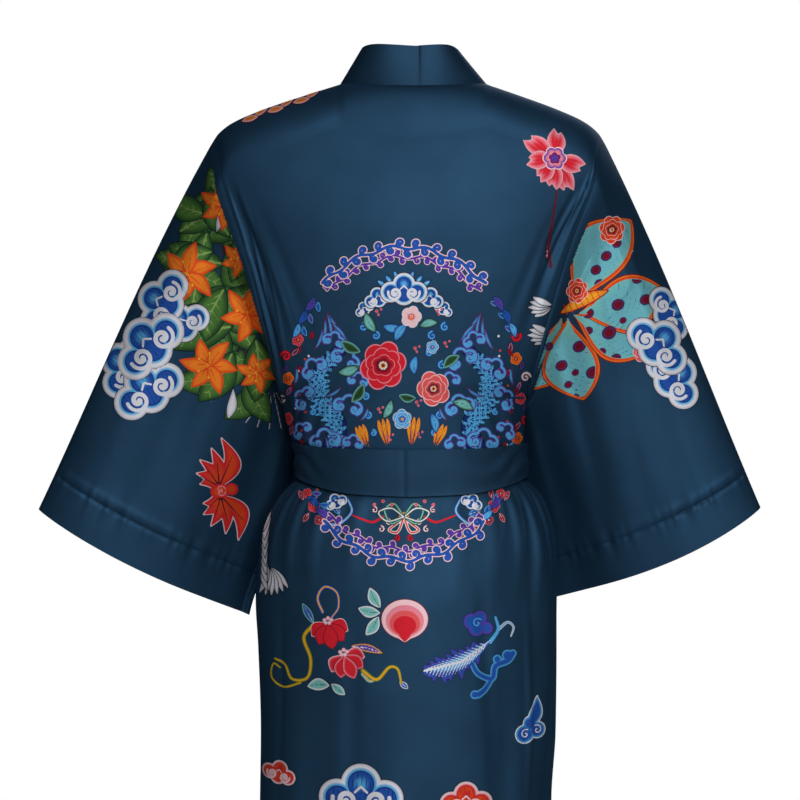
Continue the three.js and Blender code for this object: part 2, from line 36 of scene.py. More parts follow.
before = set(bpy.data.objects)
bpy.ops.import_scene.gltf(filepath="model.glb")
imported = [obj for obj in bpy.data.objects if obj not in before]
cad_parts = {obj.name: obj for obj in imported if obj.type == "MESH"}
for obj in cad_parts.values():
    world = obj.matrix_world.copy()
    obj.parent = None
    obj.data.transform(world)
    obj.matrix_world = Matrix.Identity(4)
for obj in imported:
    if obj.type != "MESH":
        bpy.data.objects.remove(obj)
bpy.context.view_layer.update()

# Shapes are worked out in millimetres, +Z up, the front facing -Y and the
# wearer's left at +X, and go into the meshes in metres. A sign is 1 on the
# left side and -1 on the right one. A face is 1 for the back and -1 for the
# front.
SIDES = (("left", 1), ("right", -1))


def table(names, *rows):
    """The columns of a short table by name; it is read along its first column."""
    return dict(zip(names.split(), np.array(rows, float).T))


# The neck's half ellipse, and the neckband's width and slant out of the seam.
NECK_X, NECK_HALF, NECK_BACK, NECK_DIP, BAND = -4, 84, 62, 6, 48
BAND_LEAN = {1: 23, -1: 32}
# The shoulders' tips, and the heights of the body's first level, of the
# armhole's foot and of the hem. Below the first level v counts steps down.
TIP = {1: 228, -1: 224}
FIRST_LEVEL, UNDERARM, HEM, LEVEL_STEP = -150, -362, -1220, 100
LAST_V = 2 + (FIRST_LEVEL - HEM) / LEVEL_STEP
ARM_V = 2 + (FIRST_LEVEL - UNDERARM) / LEVEL_STEP
# Seams at the back of the neck and of the belt, the wrap's depth, the overlap
# of sewn edges, and how far a band's top end is sunk under its seam.
BACK_SEAM_X, BELT_SEAM_X, LAP, SEAM, SUNK = -10, 7, 5, 0.05, 0.9
# The belt: its gap, its foot at the back, its sag there, and the heights
# between which the waist's folds follow that sag.
BELT_GAP, BELT_FOOT, BELT_SAG, WAIST_TOP, WAIST_END = 3.5, -471, 21, -395, -640
END_LENGTH, END_WIDTH, END_X, END_TOP = 330, 46, 15, -450.1
KNOT_Y, KNOT_Z, KNOT_SIZE = 112.4, -430, (27, 11, 22)
# Half width and half depth, squared, of the ovals that give the way out.
WAIST_OVAL, WRAP_OVAL = (17500, 7900), (26000, 11000)
# The cuff's sewn line lies this far from its edge, the sleeve is this long
# along its arm edge and its hanging edge, and its first rings leave the
# armhole over this share of that.
HEM_LINE, SLEEVE_LONG, ARM_SHARE = 45, (465, 254), 0.035
# The camera looks straight along y at this x and z.
EYE_X, EYE_Z = 11.5, -362

SHOULDER = table(
    "share z round",
    (0, 0, 50), (0.28, -13, 52), (0.62, -30, 50), (0.84, -44, 47), (0.945, -56, 45), (1, -68, 44),
)
LEVELS = table(
    "z left right back front edge_back edge_front hump",
    (-40, 228, 222, 84, 66, 62, 50, 1.7),
    (-75, 222, 219, 97, 80, 68, 56, 1.7),
    (-125, 209, 205, 108, 95, 73, 61, 1.7),
    (-178, 191, 184, 112, 106, 75, 63, 1.6),
    (-218, 179, 171, 111, 112, 75, 63, 1.45),
    (-283, 162, 152, 105, 112, 66, 56, 1.25),
    (-320, 154, 142, 100, 107, 52, 44, 1.12),
    (-345, 150, 135, 98, 103, 34, 29, 1.04),
    (-362, 147, 133, 96, 101, 0, 0, 0.98),
    (-400, 138, 131, 92, 97, 0, 0, 0.94),
    (-425, 128, 130, 88, 93, 0, 0, 0.93),
    (-447, 127, 130, 86, 91, 0, 0, 0.92),
    (-466, 144, 145, 89, 93, 0, 0, 0.92),
    (-485, 157, 155, 95, 96, 0, 0, 0.92),
    (-510, 168, 163, 104, 99, 0, 0, 0.92),
    (-540, 174, 167, 112, 102, 0, 0, 0.92),
    (-590, 177, 168, 119, 106, 0, 0, 0.9),
    (-646, 174, 168, 121, 109, 0, 0, 0.88),
    (-740, 171, 167, 121, 113, 0, 0, 0.86),
    (-822, 172, 162, 121, 116, 0, 0, 0.85),
    (-950, 174, 164, 122, 120, 0, 0, 0.84),
    (-1080, 176, 167, 124, 124, 0, 0, 0.84),
    (-1220, 178, 170, 126, 128, 0, 0, 0.84),
)
# Folds of the body: face (1 the back), angle, its drift, half width in degrees,
# height outwards, and where each starts, is strongest and ends.
FOLDS = (
    (1, -84, 1, 4.5, 3.2, -446, -476, -640),
    (1, -73, 4, 4.5, 3.6, -448, -480, -660),
    (1, -62, 6, 4.5, 3.4, -450, -484, -640),
    (1, -51, 6, 4.5, 2.6, -455, -486, -600),
    (1, -37, 4, 6, 1.8, -458, -488, -590),
    (1, -20, 2, 6.5, 1.7, -460, -490, -610),
    (1, 3, -1, 7, 1.5, -460, -490, -600),
    (1, 24, -2, 6, 1.6, -460, -490, -600),
    (1, 42, -4, 5.5, 2.2, -456, -486, -610),
    (1, 55, -5, 4.5, 2.6, -452, -484, -600),
    (1, 67, -5, 4.5, 2.8, -449, -480, -610),
    (1, 80, -3, 4.5, 2.6, -446, -476, -620),
    (1, -40, -8, 11, -4.5, -600, -800, -1225),
    (1, 40, 6, 13, -4, -620, -860, -1225),
    (1, 8, 4, 14, 3.5, -640, -900, -1225),
    (1, 58, 8, 9, 4, -290, -392, -425),
    (1, -60, -8, 9, 3.5, -290, -392, -425),
    (1, -66, 10, 9, -5, -95, -190, -330),
    (1, 68, -8, 9, -4, -95, -200, -330),
    (-1, -76, 3, 6, 2.6, -448, -480, -640),
    (-1, -58, 4, 7, 2.8, -450, -484, -650),
    (-1, -38, 3, 7, 2.4, -455, -486, -620),
    (-1, 76, -3, 6, 2.6, -448, -480, -640),
    (-1, 58, -4, 7, 2.8, -450, -484, -650),
    (-1, 38, -3, 7, 2.4, -455, -486, -620),
    (-1, 66, 4, 12, -4, -640, -880, -1225),
    (-1, -66, -4, 12, -4, -640, -860, -1225),
)
# Finer gathers and creases, in the same columns.
CREASES = (
    (1, -79, 5, 2.2, 1.3, -450, -472, -540),
    (1, -67.5, 9, 2.4, 1.5, -452, -476, -575),
    (1, -57, 10, 2.2, 1.3, -455, -478, -560),
    (1, -45, 10, 2.6, 1.1, -458, -480, -560),
    (1, -30, 6, 3, 0.8, -462, -482, -545),
    (1, -12, 2, 3, 0.6, -464, -484, -530),
    (1, 12, -2, 3, 0.6, -464, -484, -535),
    (1, 33, -6, 3, 0.8, -462, -482, -545),
    (1, 49, -8, 2.4, 1.1, -457, -480, -560),
    (1, 61, -9, 2.2, 1.2, -453, -478, -560),
    (1, 73.5, -6, 2.2, 1.2, -450, -474, -550),
    (1, -53, -3, 3.2, 2.2, -560, -700, -900),
    (1, -30, -6, 5, -1.6, -540, -640, -860),
    (1, 22, 3, 6, -1.5, -560, -690, -940),
    (1, 57, 6, 4.5, -1.8, -560, -660, -900),
    (1, -71, 3, 3.5, -1.4, -600, -690, -1000),
    (1, 48, 10, 4, 1.7, -318, -398, -428),
    (1, 37, 8, 3.5, 1.2, -350, -403, -428),
    (1, 67, 4, 3, 1.3, -335, -396, -424),
    (1, -46, -8, 4, 1.3, -330, -400, -428),
    (1, -68, -5, 3, 1.2, -335, -396, -424),
    (1, -25, -5, 5, 0.7, -355, -405, -430),
    (1, 12, 4, 6, 0.6, -345, -404, -430),
    (1, 66, -3, 4, 1.8, -110, -165, -250),
    (1, -77, 2, 2.6, 2.4, -92, -122, -185),
    (1, -72, 4, 2.4, 2.2, -96, -132, -200),
    (1, -67, 8, 3, 2.5, -116, -156, -240),
    (1, -62, 8, 4, -2, -110, -160, -250),
    (1, -52, 12, 6, -1.4, -110, -210, -330),
    (1, 50, -10, 6, -1.2, -110, -230, -340),
    (1, -12, 8, 5, 0.6, -60, -110, -210),
    (1, 76, -2, 9, -5, -110, -270, -440),
    (1, 80, 2, 3, 2.2, -110, -180, -300),
    (1, 72, 5, 2.6, 1.9, -130, -220, -360),
    (1, 64, 3, 2.6, 1.3, -150, -250, -390),
    (1, 58, -6, 2.8, 1, -150, -240, -330),
    (1, -64, -4, 12, 4.5, -470, -560, -760),
    (1, -66, 2, 2.4, 1.2, -466, -500, -600),
    (1, -54, 6, 2.2, 1, -466, -500, -610),
    (-1, -67, 5, 2.6, 1.2, -452, -478, -570),
    (-1, -48, 6, 3, 1.1, -455, -480, -560),
    (-1, 67, -5, 2.6, 1.2, -452, -478, -570),
    (-1, 48, -6, 3, 1.1, -455, -480, -560),
    (-1, 28, -4, 3.4, 0.9, -458, -482, -560),
    (-1, 50, 8, 5, 1.4, -310, -396, -428),
    (-1, -50, -8, 5, 1.4, -310, -396, -428),
    (-1, -70, 4, 7, -2, -560, -760, -1225),
    (-1, 48, 3, 7, 1.8, -600, -820, -1225),
)
# Seam of a front and its band: how far past the middle line on its own side.
FRONT_EDGE = table(
    "z x",
    (-40, 79), (-120, 75), (-180, 66), (-240, 54), (-300, 37), (-360, 13),
    (-420, -12), (-447, -20), (-520, -29), (-700, -34), (-1220, -38),
)
BELT = table(
    "deg top foot out",
    (0, -418, -471, 0), (30, -417, -468, 0), (45, -416, -463, 0), (62, -413, -456, 0),
    (80, -411, -450, 0), (100, -411, -449, 0.5), (140, -413, -449, 2.5), (180, -415, -449, 4),
)
SLEEVES = {
    1: dict(outer=(428, -12, -488), inner=(188, -66, -613), bow=5.5, tuck=31, sag=9),
    -1: dict(outer=(-404, -12, -486), inner=(-164, -70, -594), bow=4.5, tuck=18, sag=15),
}
SLEEVE_DEPTH = table("t back front", (0, 75, 63), (0.25, 64, 56), (0.5, 53, 50), (0.75, 47, 46), (1, 44, 44))
# Sleeve folds: side (0 both), face, place across from the arm edge (0) to the
# hanging edge (1) at the armhole and at the cuff, half width, height, start, end.
SLEEVE_FOLDS = (
    (0, 1, 0.42, 0.6, 0.13, 6, 0.12, 1.05),
    (0, 1, 0.75, 0.82, 0.1, -5, 0.15, 0.95),
    (0, 1, 0.25, 0.3, 0.12, -3.5, 0.3, 1.1),
    (0, -1, 0.4, 0.55, 0.14, 5, 0.12, 1.05),
    (0, -1, 0.7, 0.8, 0.12, -4, 0.2, 0.95),
    (1, 1, 0.9, 0.93, 0.36, -17, -0.3, 1.7),
    (-1, 1, 0.98, 0.86, 0.2, -11, -0.2, 1.7),
    (1, 1, 0.3, 0.48, 0.05, 1.6, 0.06, 0.6),
    (1, 1, 0.55, 0.68, 0.045, 1.5, 0.1, 0.75),
    (1, 1, 0.12, 0.18, 0.05, 1.3, 0.15, 0.8),
    (1, 1, 0.86, 0.9, 0.04, 1.6, 0.1, 0.9),
    (-1, 1, 0.34, 0.52, 0.05, 1.7, 0.05, 0.65),
    (-1, 1, 0.62, 0.7, 0.05, 1.8, 0.08, 0.8),
    (-1, 1, 0.14, 0.22, 0.045, 1.4, 0.1, 0.7),
    (-1, 1, 0.84, 0.88, 0.04, 1.5, 0.1, 0.9),
    (0, -1, 0.22, 0.3, 0.06, 1.6, 0.1, 0.8),
    (0, -1, 0.55, 0.68, 0.05, 1.5, 0.1, 0.8),
)


def smooth(t):
    """0 below 0 and 1 above 1, with the cubic 3t2 - 2t3 between."""
    c = np.clip(t, 0, 1)
    return c * c * (3 - 2 * c)


def mix(a, b, t):
    """From a to b as t goes from 0 to 1."""
    return a + (b - a) * t


def stack(*parts):
    """Points from their coordinates."""
    return np.stack(np.broadcast_arrays(*parts), -1)


def unit(v):
    """Vectors of length 1."""
    return v / np.maximum(np.linalg.norm(v, axis=-1, keepdims=True), 1e-9)


def oval_out(p, oval):
    """The level way out of an oval at points: x over its half width squared, y over its half depth squared."""
    return unit(stack(p[..., 0] / oval[0], p[..., 1] / oval[1], 0 * p[..., 0]))


def at(tab, column, x):
    """A table's column at x: cubic pieces whose slope at a row is the harmonic mean of its neighbours', so
    nothing overshoots."""
    key, value = tab[next(iter(tab))], tab[column]
    if key[0] > key[-1]:
        key, value = key[::-1], value[::-1]
    slope = np.diff(value) / np.diff(key)
    product, total = slope[1:] * slope[:-1], slope[1:] + slope[:-1]
    inner = np.where(product > 0, 2 * product / np.where(product > 0, total, 1), 0)
    tangent = np.concatenate((slope[:1], inner, slope[-1:]))
    k = np.clip(np.searchsorted(key, x, side="right") - 1, 0, len(key) - 2)
    h = key[k + 1] - key[k]
    t = np.clip((x - key[k]) / h, 0, 1)
    return (
        (2 * t**3 - 3 * t**2 + 1) * value[k] + (t**3 - 2 * t**2 + t) * h * tangent[k]
        + (3 * t**2 - 2 * t**3) * value[k + 1] + (t**3 - t**2) * h * tangent[k + 1]
    )


def fold_height(deg, z, face):
    """The sum of the folds: each is its height times a squared cosine across, rising to its peak and dying out
    to its foot."""
    total = np.zeros(np.broadcast(deg, z).shape)
    for side, middle, drift, wide, out, top_z, peak, foot in FOLDS + CREASES:
        if side != face:
            continue
        along = smooth((top_z - z) / (top_z - peak)) * smooth((z - foot) / (peak - foot))
        across = np.minimum(np.abs(deg - middle - drift * (peak - z) / (peak - foot)) / wide, 1)
        total += out * along * np.cos(across * np.pi / 2) ** 2
    return total


def half_width(x, z):
    """The body's half width on the side of x."""
    return np.where(x >= 0, at(LEVELS, "left", z), at(LEVELS, "right", z))


def section(deg, z, face):
    """A level section of the body: x is the half width times the sine of the angle, y the edge's depth plus the
    rest times a power of the cosine, and the folds stand out square to that."""
    c = np.maximum(0, np.cos(np.radians(deg)))
    end = np.where(z > BELT_FOOT, WAIST_TOP, WAIST_END)
    level = z + BELT_SAG * c * c * smooth((z - end) / (BELT_FOOT - end)) * (face > 0)
    own = "back" if face > 0 else "front"
    width, depth = half_width(deg, level), at(LEVELS, own, level)
    edge = at(LEVELS, f"edge_{own}", z)
    x = width * np.sin(np.radians(deg))
    y = face * (edge + (depth - edge) * c ** at(LEVELS, "hump", level))
    out = unit(stack(x / width**2, y / depth**2, 0 * x))
    lift = fold_height(deg, z, face) * smooth((90 - np.abs(deg)) / 5)
    return stack(x, y, z + 0 * x) + out * lift[..., None]


def angle_at(x, z, most=1):
    """The angle of a place on the body at x."""
    return np.degrees(np.arcsin(np.clip(x / half_width(x, z), -most, most)))


def column_top(x, face):
    """Top of a column, on the neckline's half ellipse or the shoulder's line, and its radius of turning down."""
    away = np.abs(x - NECK_X)
    q = np.clip(away / NECK_HALF, 0, 1)
    neck = stack(x, face * NECK_BACK * np.sqrt(1 - q * q), -NECK_DIP * (1 - q * q))
    tip = np.where(x > NECK_X, TIP[1] - NECK_X, TIP[-1] + NECK_X)
    share = np.clip((away - NECK_HALF) / (tip - NECK_HALF), 0, 1)
    inside = away < NECK_HALF
    point = np.where(inside[..., None], neck, stack(x, 0 * x, at(SHOULDER, "z", share)))
    return point, np.where(inside, mix(58, 50, q), at(SHOULDER, "round", share))


def column_point(top_x, angle_of, v, face):
    """Down a column: v from 0 to 1 is a quarter turn over the shoulder, 1 to 2 goes to the first level, and each
    unit after that is a step down."""
    p, turn = column_top(top_x, face)
    foot_z = p[..., 2] - turn
    below = np.where(v <= 2, mix(foot_z, FIRST_LEVEL, v - 1), FIRST_LEVEL - LEVEL_STEP * (v - 2))
    on = section(angle_of(np.where(v <= 1, foot_z, below)), np.where(v <= 1, foot_z, below), face)
    a = np.clip(v, 0, 1) * np.pi / 2
    x, y = (mix(p[..., k], on[..., k], np.sin(a)) for k in (0, 1))
    return np.where((v < 1)[..., None], stack(x, y, p[..., 2] - turn * (1 - np.cos(a))), on)


def back_point(deg, v):
    """The back's cloth at an angle from its middle, 90 at the left side."""
    deg, v = np.broadcast_arrays(deg, v)
    tip = np.where(deg >= 0, TIP[1], TIP[-1])
    return column_point(tip * np.sin(np.radians(deg)), lambda z: deg, v, 1)


def sink(p):
    """The right front lies under the left one: its points move inwards by the lap's depth."""
    lap = LAP * smooth((p[..., 0] + 142) / 36) * smooth((-52 - p[..., 2]) / 70)
    return p - oval_out(p, WRAP_OVAL) * lap[..., None]


def edge_x(sign, z):
    """Where a front's seam with its band runs."""
    return sign * at(FRONT_EDGE, "x", z) + np.where(z > -400, NECK_X * smooth((z + 400) / 300), 0)


def front_point(sign, across, v):
    """A front from its band's seam (0) to the side (1)."""
    across, v = np.broadcast_arrays(across, v)
    start = math.degrees(math.asin((NECK_HALF + sign * NECK_X + 0.01) / TIP[sign]))
    top_x = sign * TIP[sign] * np.sin(np.radians(mix(start, 90, across)))
    p = column_point(top_x, lambda z: mix(angle_at(edge_x(sign, z), z), 90 * sign, across), v, -1)
    return p if sign > 0 else sink(p)


def body_edge(sign, v, face):
    """The armhole's edge and, below it, the side."""
    top_x = np.full(np.shape(v), sign * TIP[sign], float)
    return column_point(top_x, lambda z: 90.0 * sign + 0 * z, v, face)


def arm_places(sign, face):
    """Steps down the armhole's edge and the share of its length at each."""
    v = np.linspace(0, ARM_V, 240)
    p = body_edge(sign, v, face)
    s = np.concatenate(([0], np.cumsum(np.linalg.norm(np.diff(p, axis=0), axis=1))))
    return v, s / s[-1]


def sleeve_lens(sign, t, s, face, foot):
    """A sleeve without its folds: a lens between the arm edge, which bows out, and the hanging edge, which is
    tucked in under the arm."""
    cut = SLEEVES[sign]
    tip = (sign * TIP[sign], 0, SHOULDER["z"][-1])
    outer = [mix(a, b, t) for a, b in zip(tip, cut["outer"])]
    outer[0] = outer[0] + sign * cut["bow"] * 6.75 * t * (1 - t) ** 2
    tuck = cut["tuck"] * smooth(t / 0.2) * (1 - smooth((t - 0.4) / 0.62))
    x, y, z = cut["inner"]
    inner = stack(mix(foot[0], x, t) - sign * tuck, y * smooth(t / 0.18), mix(foot[2], z, t))
    p = stack(*outer) + (inner - stack(*outer)) * s[..., None]
    lens = np.where((s > 0) & (s < 1), np.abs(np.sin(np.pi * s**0.82)) ** 0.72, 0)
    p[..., 1] += face * at(SLEEVE_DEPTH, "back" if face > 0 else "front", t) * lens
    p[..., 2] -= cut["sag"] * t * t * np.sin(np.pi * s**0.8)
    return p


def hem_lift(t, s):
    """The cuff's sewn line: a groove with a soft ridge behind it, and puckers that die away from it."""
    away = mix(*SLEEVE_LONG, s) * (1 - t) - HEM_LINE
    groove = -1.9 * np.exp(-((away / 2.4) ** 2)) + 1.1 * np.exp(-(((away - 8) / 5) ** 2))
    ripple = np.sin(s * 118 + 2.1 * np.sin(s * 31)) + 0.7 * np.sin(s * 71 + 1.3)
    return groove + 1.15 * ripple * np.exp(-np.abs(away) / 9)


def sleeve_point(sign, t, s, face):
    """A sleeve along its length t and round half its ring s, from the arm edge to the hanging edge: drawn onto
    the armhole's own edge near the body, with folds and the cuff's puckered hem line."""
    t, s = np.broadcast_arrays(t, s)
    foot = body_edge(sign, np.array([ARM_V]), face)[0]
    v, share = arm_places(sign, face)
    hole = body_edge(sign, np.interp(s, share, v), face)
    p = sleeve_lens(sign, t, s, face, foot)
    p = p + (hole - sleeve_lens(sign, 0 * t, s, face, foot)) * (1 - smooth(t / 0.7))[..., None]
    lift = hem_lift(t, s)
    for side, own, start, end, wide, out, first, last in SLEEVE_FOLDS:
        if own != face or side * sign < 0:
            continue
        along = np.clip((t - first) / (last - first), 0, 1)
        across = np.minimum(np.abs(s - mix(start, end, t)) / wide, 1)
        lift = lift + out * np.sin(np.pi * np.sqrt(along)) * np.cos(across * np.pi / 2) ** 2
    p[..., 1] += face * lift * smooth(np.minimum(s, 1 - s) / 0.04)
    return p


def armhole_gap(sign, s, face):
    """How the sleeve's first ring stands off the body's edge, so that the two meet side by side: away from the
    body's edge, more where the sleeve bends, and out of the body's face where it folds back."""
    v, share = arm_places(sign, face)
    own = np.interp(s, share, v)
    step, inwards = 1e-2, 1 - 1e-3
    edge = body_edge(sign, own, face)
    along = body_edge(sign, own + step, face) - body_edge(sign, own - step, face)
    near = back_point(90.0 * sign * inwards, own) if face > 0 else front_point(sign, inwards, own)
    body = unit(np.cross(along, near - edge))
    body *= np.sign(body[..., 1:2] * face + 0.4 * body[..., 2:] + 1e-9)
    away = unit(np.cross(along, body))
    away *= np.sign(away[..., :1] * sign - 0.2 * away[..., 2:] + 1e-9)
    way = unit(sleeve_point(sign, np.full_like(s, ARM_SHARE), s, face) - edge)
    dot = (way * away).sum(-1)
    bend = np.sqrt(np.maximum(0, 1 - dot**2))
    folded = smooth((0.35 - dot) / 0.5)
    return away * (SEAM + 0.26 + 0.6 * bend)[..., None] + body * (folded * 1.9)[..., None]


def normals(grid, ring=False):
    """Cross product of the way down and the way across."""
    down = np.gradient(grid, axis=0)
    over = np.roll(grid, -1, 1) - np.roll(grid, 1, 1) if ring else np.gradient(grid, axis=1)
    return unit(np.cross(down, over))


EDGES = {
    "top": (np.s_[0], np.s_[1]),
    "first": (np.s_[:, 0], np.s_[:, 1]),
    "last": (np.s_[:, -1], np.s_[:, -2]),
}


def carried_on(grid, *edges):
    """Carries the edges of a grid on by half a seam's overlap, so that no light shows through a seam."""
    grid = grid.copy()
    for rim, neighbour in (EDGES[edge] for edge in edges):
        grid[rim] -= unit(grid[neighbour] - grid[rim]) * (SEAM / 2)
    return grid


def put(name, points, faces):
    """A mesh object from points in millimetres and a list of faces, riding on the robe."""
    mesh = bpy.data.meshes.new(name)
    mesh.from_pydata((points / 1000).tolist(), [], faces)
    mesh.update()
    mesh.polygons.foreach_set("use_smooth", np.ones(len(mesh.polygons), bool))
    obj = bpy.data.objects.new(name, mesh)
    bpy.context.scene.collection.objects.link(obj)
    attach(obj, "root")
    return obj


def lay_flat(obj, flat):
    """Gives a mesh its UV map, in metres of cloth, from a place for each point."""
    mesh = obj.data
    uv = mesh.uv_layers.new(name="cloth")
    corners = np.empty(len(mesh.loops), int)
    mesh.loops.foreach_get("vertex_index", corners)
    uv.data.foreach_set("uv", flat[corners].ravel())


def quads(rows, columns, ring=False):
    """The corners of each cell of a grid, which closes on itself where it is a ring."""
    i, j = np.meshgrid(np.arange(rows - 1), np.arange(columns if ring else columns - 1), indexing="ij")
    k = (j + 1) % columns
    corners = (i * columns + j, (i + 1) * columns + j, (i + 1) * columns + k, i * columns + k)
    return np.stack(corners, -1).reshape(-1, 4)


def shell(name, grid, thick, ring=False, own=None):
    """A closed wall: the grid moved half the thickness out and in along its normals, with rims. Its UV map is
    in metres along and across the cloth."""
    n = normals(grid, ring) if own is None else own
    rows, columns = grid.shape[:2]
    count = rows * columns
    points = np.concatenate((grid + n * thick / 2, grid - n * thick / 2)).reshape(-1, 3)
    outer = quads(rows, columns, ring)
    faces = [outer, outer[:, [0, 3, 2, 1]] + count]
    j = np.arange(columns if ring else columns - 1)
    k, z = (j + 1) % columns, (rows - 1) * columns
    faces += [np.stack((j, k, k + count, j + count), -1)]
    faces += [np.stack((z + k, z + j, z + j + count, z + k + count), -1)]
    if not ring:
        a = np.arange(rows - 1) * columns
        b, c, d = a + columns, a + columns - 1, a + 2 * columns - 1
        faces += [np.stack((b, a, a + count, b + count), -1), np.stack((c, d, d + count, c + count), -1)]
    obj = put(name, points, np.concatenate(faces).tolist())
    obj.data.set_sharp_from_angle(angle=math.radians(60))
    across = np.linalg.norm(np.diff(grid, axis=1), axis=-1).mean(0)
    along = np.linalg.norm(np.diff(grid, axis=0), axis=-1).mean(1)
    u, w = (np.concatenate(([0], np.cumsum(steps))) / 1000 for steps in (across, along))
    lay_flat(obj, np.tile(stack(u[None, :], w[:, None]).reshape(-1, 2), (2, 1)))
    return obj


def down_steps(*parts):
    """Values of v down a column: (end, steps) for each stretch."""
    out, last = [np.array([0.0])], 0.0
    for end, steps in parts:
        out.append(np.linspace(last, end, steps + 1)[1:])
        last = end
    return np.concatenate(out)


def body_rows():
    """Rows of the back and the fronts, closer round the belt."""
    return down_steps((1, 11), (2, 14), (4.5, 46), (5.6, 34), (7.2, 36), (LAST_V, 42))


def back_grid(columns=156):
    """The back from its left side to its right."""
    deg = np.linspace(90, -90, columns + 1)
    return back_point(deg[None, :], body_rows()[:, None])


def front_grid(sign, columns=60):
    """A front from its band's seam to the side."""
    across = np.linspace(0, 1, columns + 1) ** 0.96
    return front_point(sign, across[None, :], body_rows()[:, None])


def sleeve_grid(sign, half=90):
    """A sleeve's rings from the armhole to the cuff, closer along the sewn line: down the back face and up the
    front one."""
    t = down_steps((ARM_SHARE, 4), (0.8, 66), (0.925, 44), (1, 9))[:, None]
    s = (1 - np.cos(np.linspace(0, np.pi, half + 1))) / 2
    s = mix(s, np.linspace(0, 1, half + 1), 0.6)
    sides = []
    for face, own in ((1, s), (-1, s[-2:0:-1])):
        near = np.clip(1 - t / ARM_SHARE, 0, 1)[..., None]
        sides.append(sleeve_point(sign, t, own[None, :], face) + armhole_gap(sign, own, face)[None] * near)
    return np.concatenate(sides, 1)


def band_standing(sign, q):
    """The band's width as it stands at the neck, from the nape (0) to the shoulder (1)."""
    return unit(stack(-sign * mix(2, BAND_LEAN[sign], q * q), mix(-13, 2, q), mix(47, 38, q * q))) * BAND


def band_flat(sign, seam, a):
    """The band lying on the front: along the front's own section, from the seam on."""
    def on(x, z):
        p = section(angle_at(x, z), z, -1)
        return p if sign > 0 else sink(p)

    z = np.minimum(seam[:, 2], -60)
    start = edge_x(sign, z)
    shift = seam - on(start, z)
    reach = np.where(z > -400, 0.93, 1)[:, None] * BAND * a
    flat = on(start[:, None] - sign * reach, z[:, None] + 0 * reach) + shift[:, None]
    flat[..., 2] = seam[:, None, 2] + (smooth((seam[:, 2] + 420) / 120) * 17)[:, None] * a
    return flat


def band_grid(sign, across=9):
    """The neckband: from the nape over the shoulder and down the front, standing at the neck and turning to lie
    flat on the chest. Its foot stands a little off the seam, and is sunk where the shoulder's seam meets it."""
    a = np.linspace(0, 1, across)[None, :]
    ends = np.array([BACK_SEAM_X, NECK_X + sign * NECK_HALF])
    q0 = np.arcsin(np.clip((ends - NECK_X) / NECK_HALF, -1, 1))
    x = NECK_X + NECK_HALF * np.sin(np.linspace(q0[0], q0[1], 43)[:-1])
    up = band_standing(sign, np.abs(x - NECK_X) / NECK_HALF)
    up[0, 0] = 0
    nape = column_top(x, 1)[0][:, None] + up[:, None] * a[..., None]
    v = body_rows()
    seam = front_point(sign, np.zeros_like(v), v)
    turn = smooth((-seam[:, 2] - 2) / 105)
    stood = seam[:, None] + band_standing(sign, np.ones_like(v))[:, None] * a[..., None]
    grid = np.concatenate((nape, mix(stood, band_flat(sign, seam, a), turn[:, None, None])))
    off, foot = 0.3, -2.4
    corner = np.exp(-((np.linalg.norm(seam - seam[0], axis=1) / 6) ** 2))
    lift = np.concatenate((
        mix(off, foot, np.exp(-((np.abs(x - x[-1]) / 5) ** 2))),
        mix(mix(off, 0.12, smooth(turn * 2)), foot, corner),
    ))
    grid[:, 0] += unit(grid[:, 1] - grid[:, 0]) * lift[:, None]
    grid[..., 1] -= SUNK * np.exp(-(np.arange(len(grid)) / 0.8) ** 2)[:, None]
    return grid


def belt_point(sign, deg, share):
    """The belt round the waist: the body's section set out by the belt's gap, with a slight crown, a flared foot
    and slanting wrinkles away from its seam."""
    deg, share = np.broadcast_arrays(deg, share)
    own = np.abs(deg)
    z = mix(at(BELT, "top", own), at(BELT, "foot", own), share)
    side = sign * np.where(deg < 0, -1, 1)
    behind, before = section(side * own, z, 1), section(side * (180 - own), z, -1)
    p = np.where((own <= 90)[..., None], behind, before)
    crown = np.sin(np.pi * share)
    ease = BELT_GAP + at(BELT, "out", own) + 1.2 * crown + 2 * share**2
    wave = np.sin(share * 10 + own * 0.09 + np.sin(own * 0.11) * 2.2)
    wrinkle = (1.4 if sign < 0 else 1.1) * wave * crown * smooth((own - 18) / 36)
    return p + oval_out(p, WAIST_OVAL) * (ease + wrinkle)[..., None]


def belt_grid(sign):
    """Half the belt, from its seam at the back, where its end is sunk, to the knot."""
    start = sign * math.degrees(math.asin(BELT_SEAM_X / 132))
    deg = np.linspace(start, 176, 211)[:, None]
    p = belt_point(sign, deg, np.linspace(0, 1, 21)[None, :])
    near = np.exp(-(((deg - start) / 1.3) ** 2))
    return p - oval_out(p, WAIST_OVAL) * (SUNK * near)[..., None]


def belt_end_grid(sign):
    """A hanging belt end: a strip that widens from the knot, bent over the belt and falling just before the
    skirt."""
    t, s = np.broadcast_arrays(np.linspace(0, 1, 61)[:, None], np.linspace(-0.5, 0.5, 17)[None, :])
    wide = mix(26, END_WIDTH, smooth(t * 3))
    x = sign * END_X + sign * 34 * t + s * wide
    z = END_TOP - (END_LENGTH - (0 if sign > 0 else 22)) * t + s * sign * 4
    rest = section(angle_at(x, z), z, -1)[..., 1] - 6 - 5 * t
    hang = np.minimum(mix(1 - KNOT_Y, rest, smooth(t * 4)), rest)
    y = hang - 2.5 * np.cos(s * np.pi * 2) * (1 - 0.5 * t)
    pleat = 0.8 * np.cos(s * np.pi * 6) * (1 - smooth(t * 3))
    return stack(x, y - pleat, z)


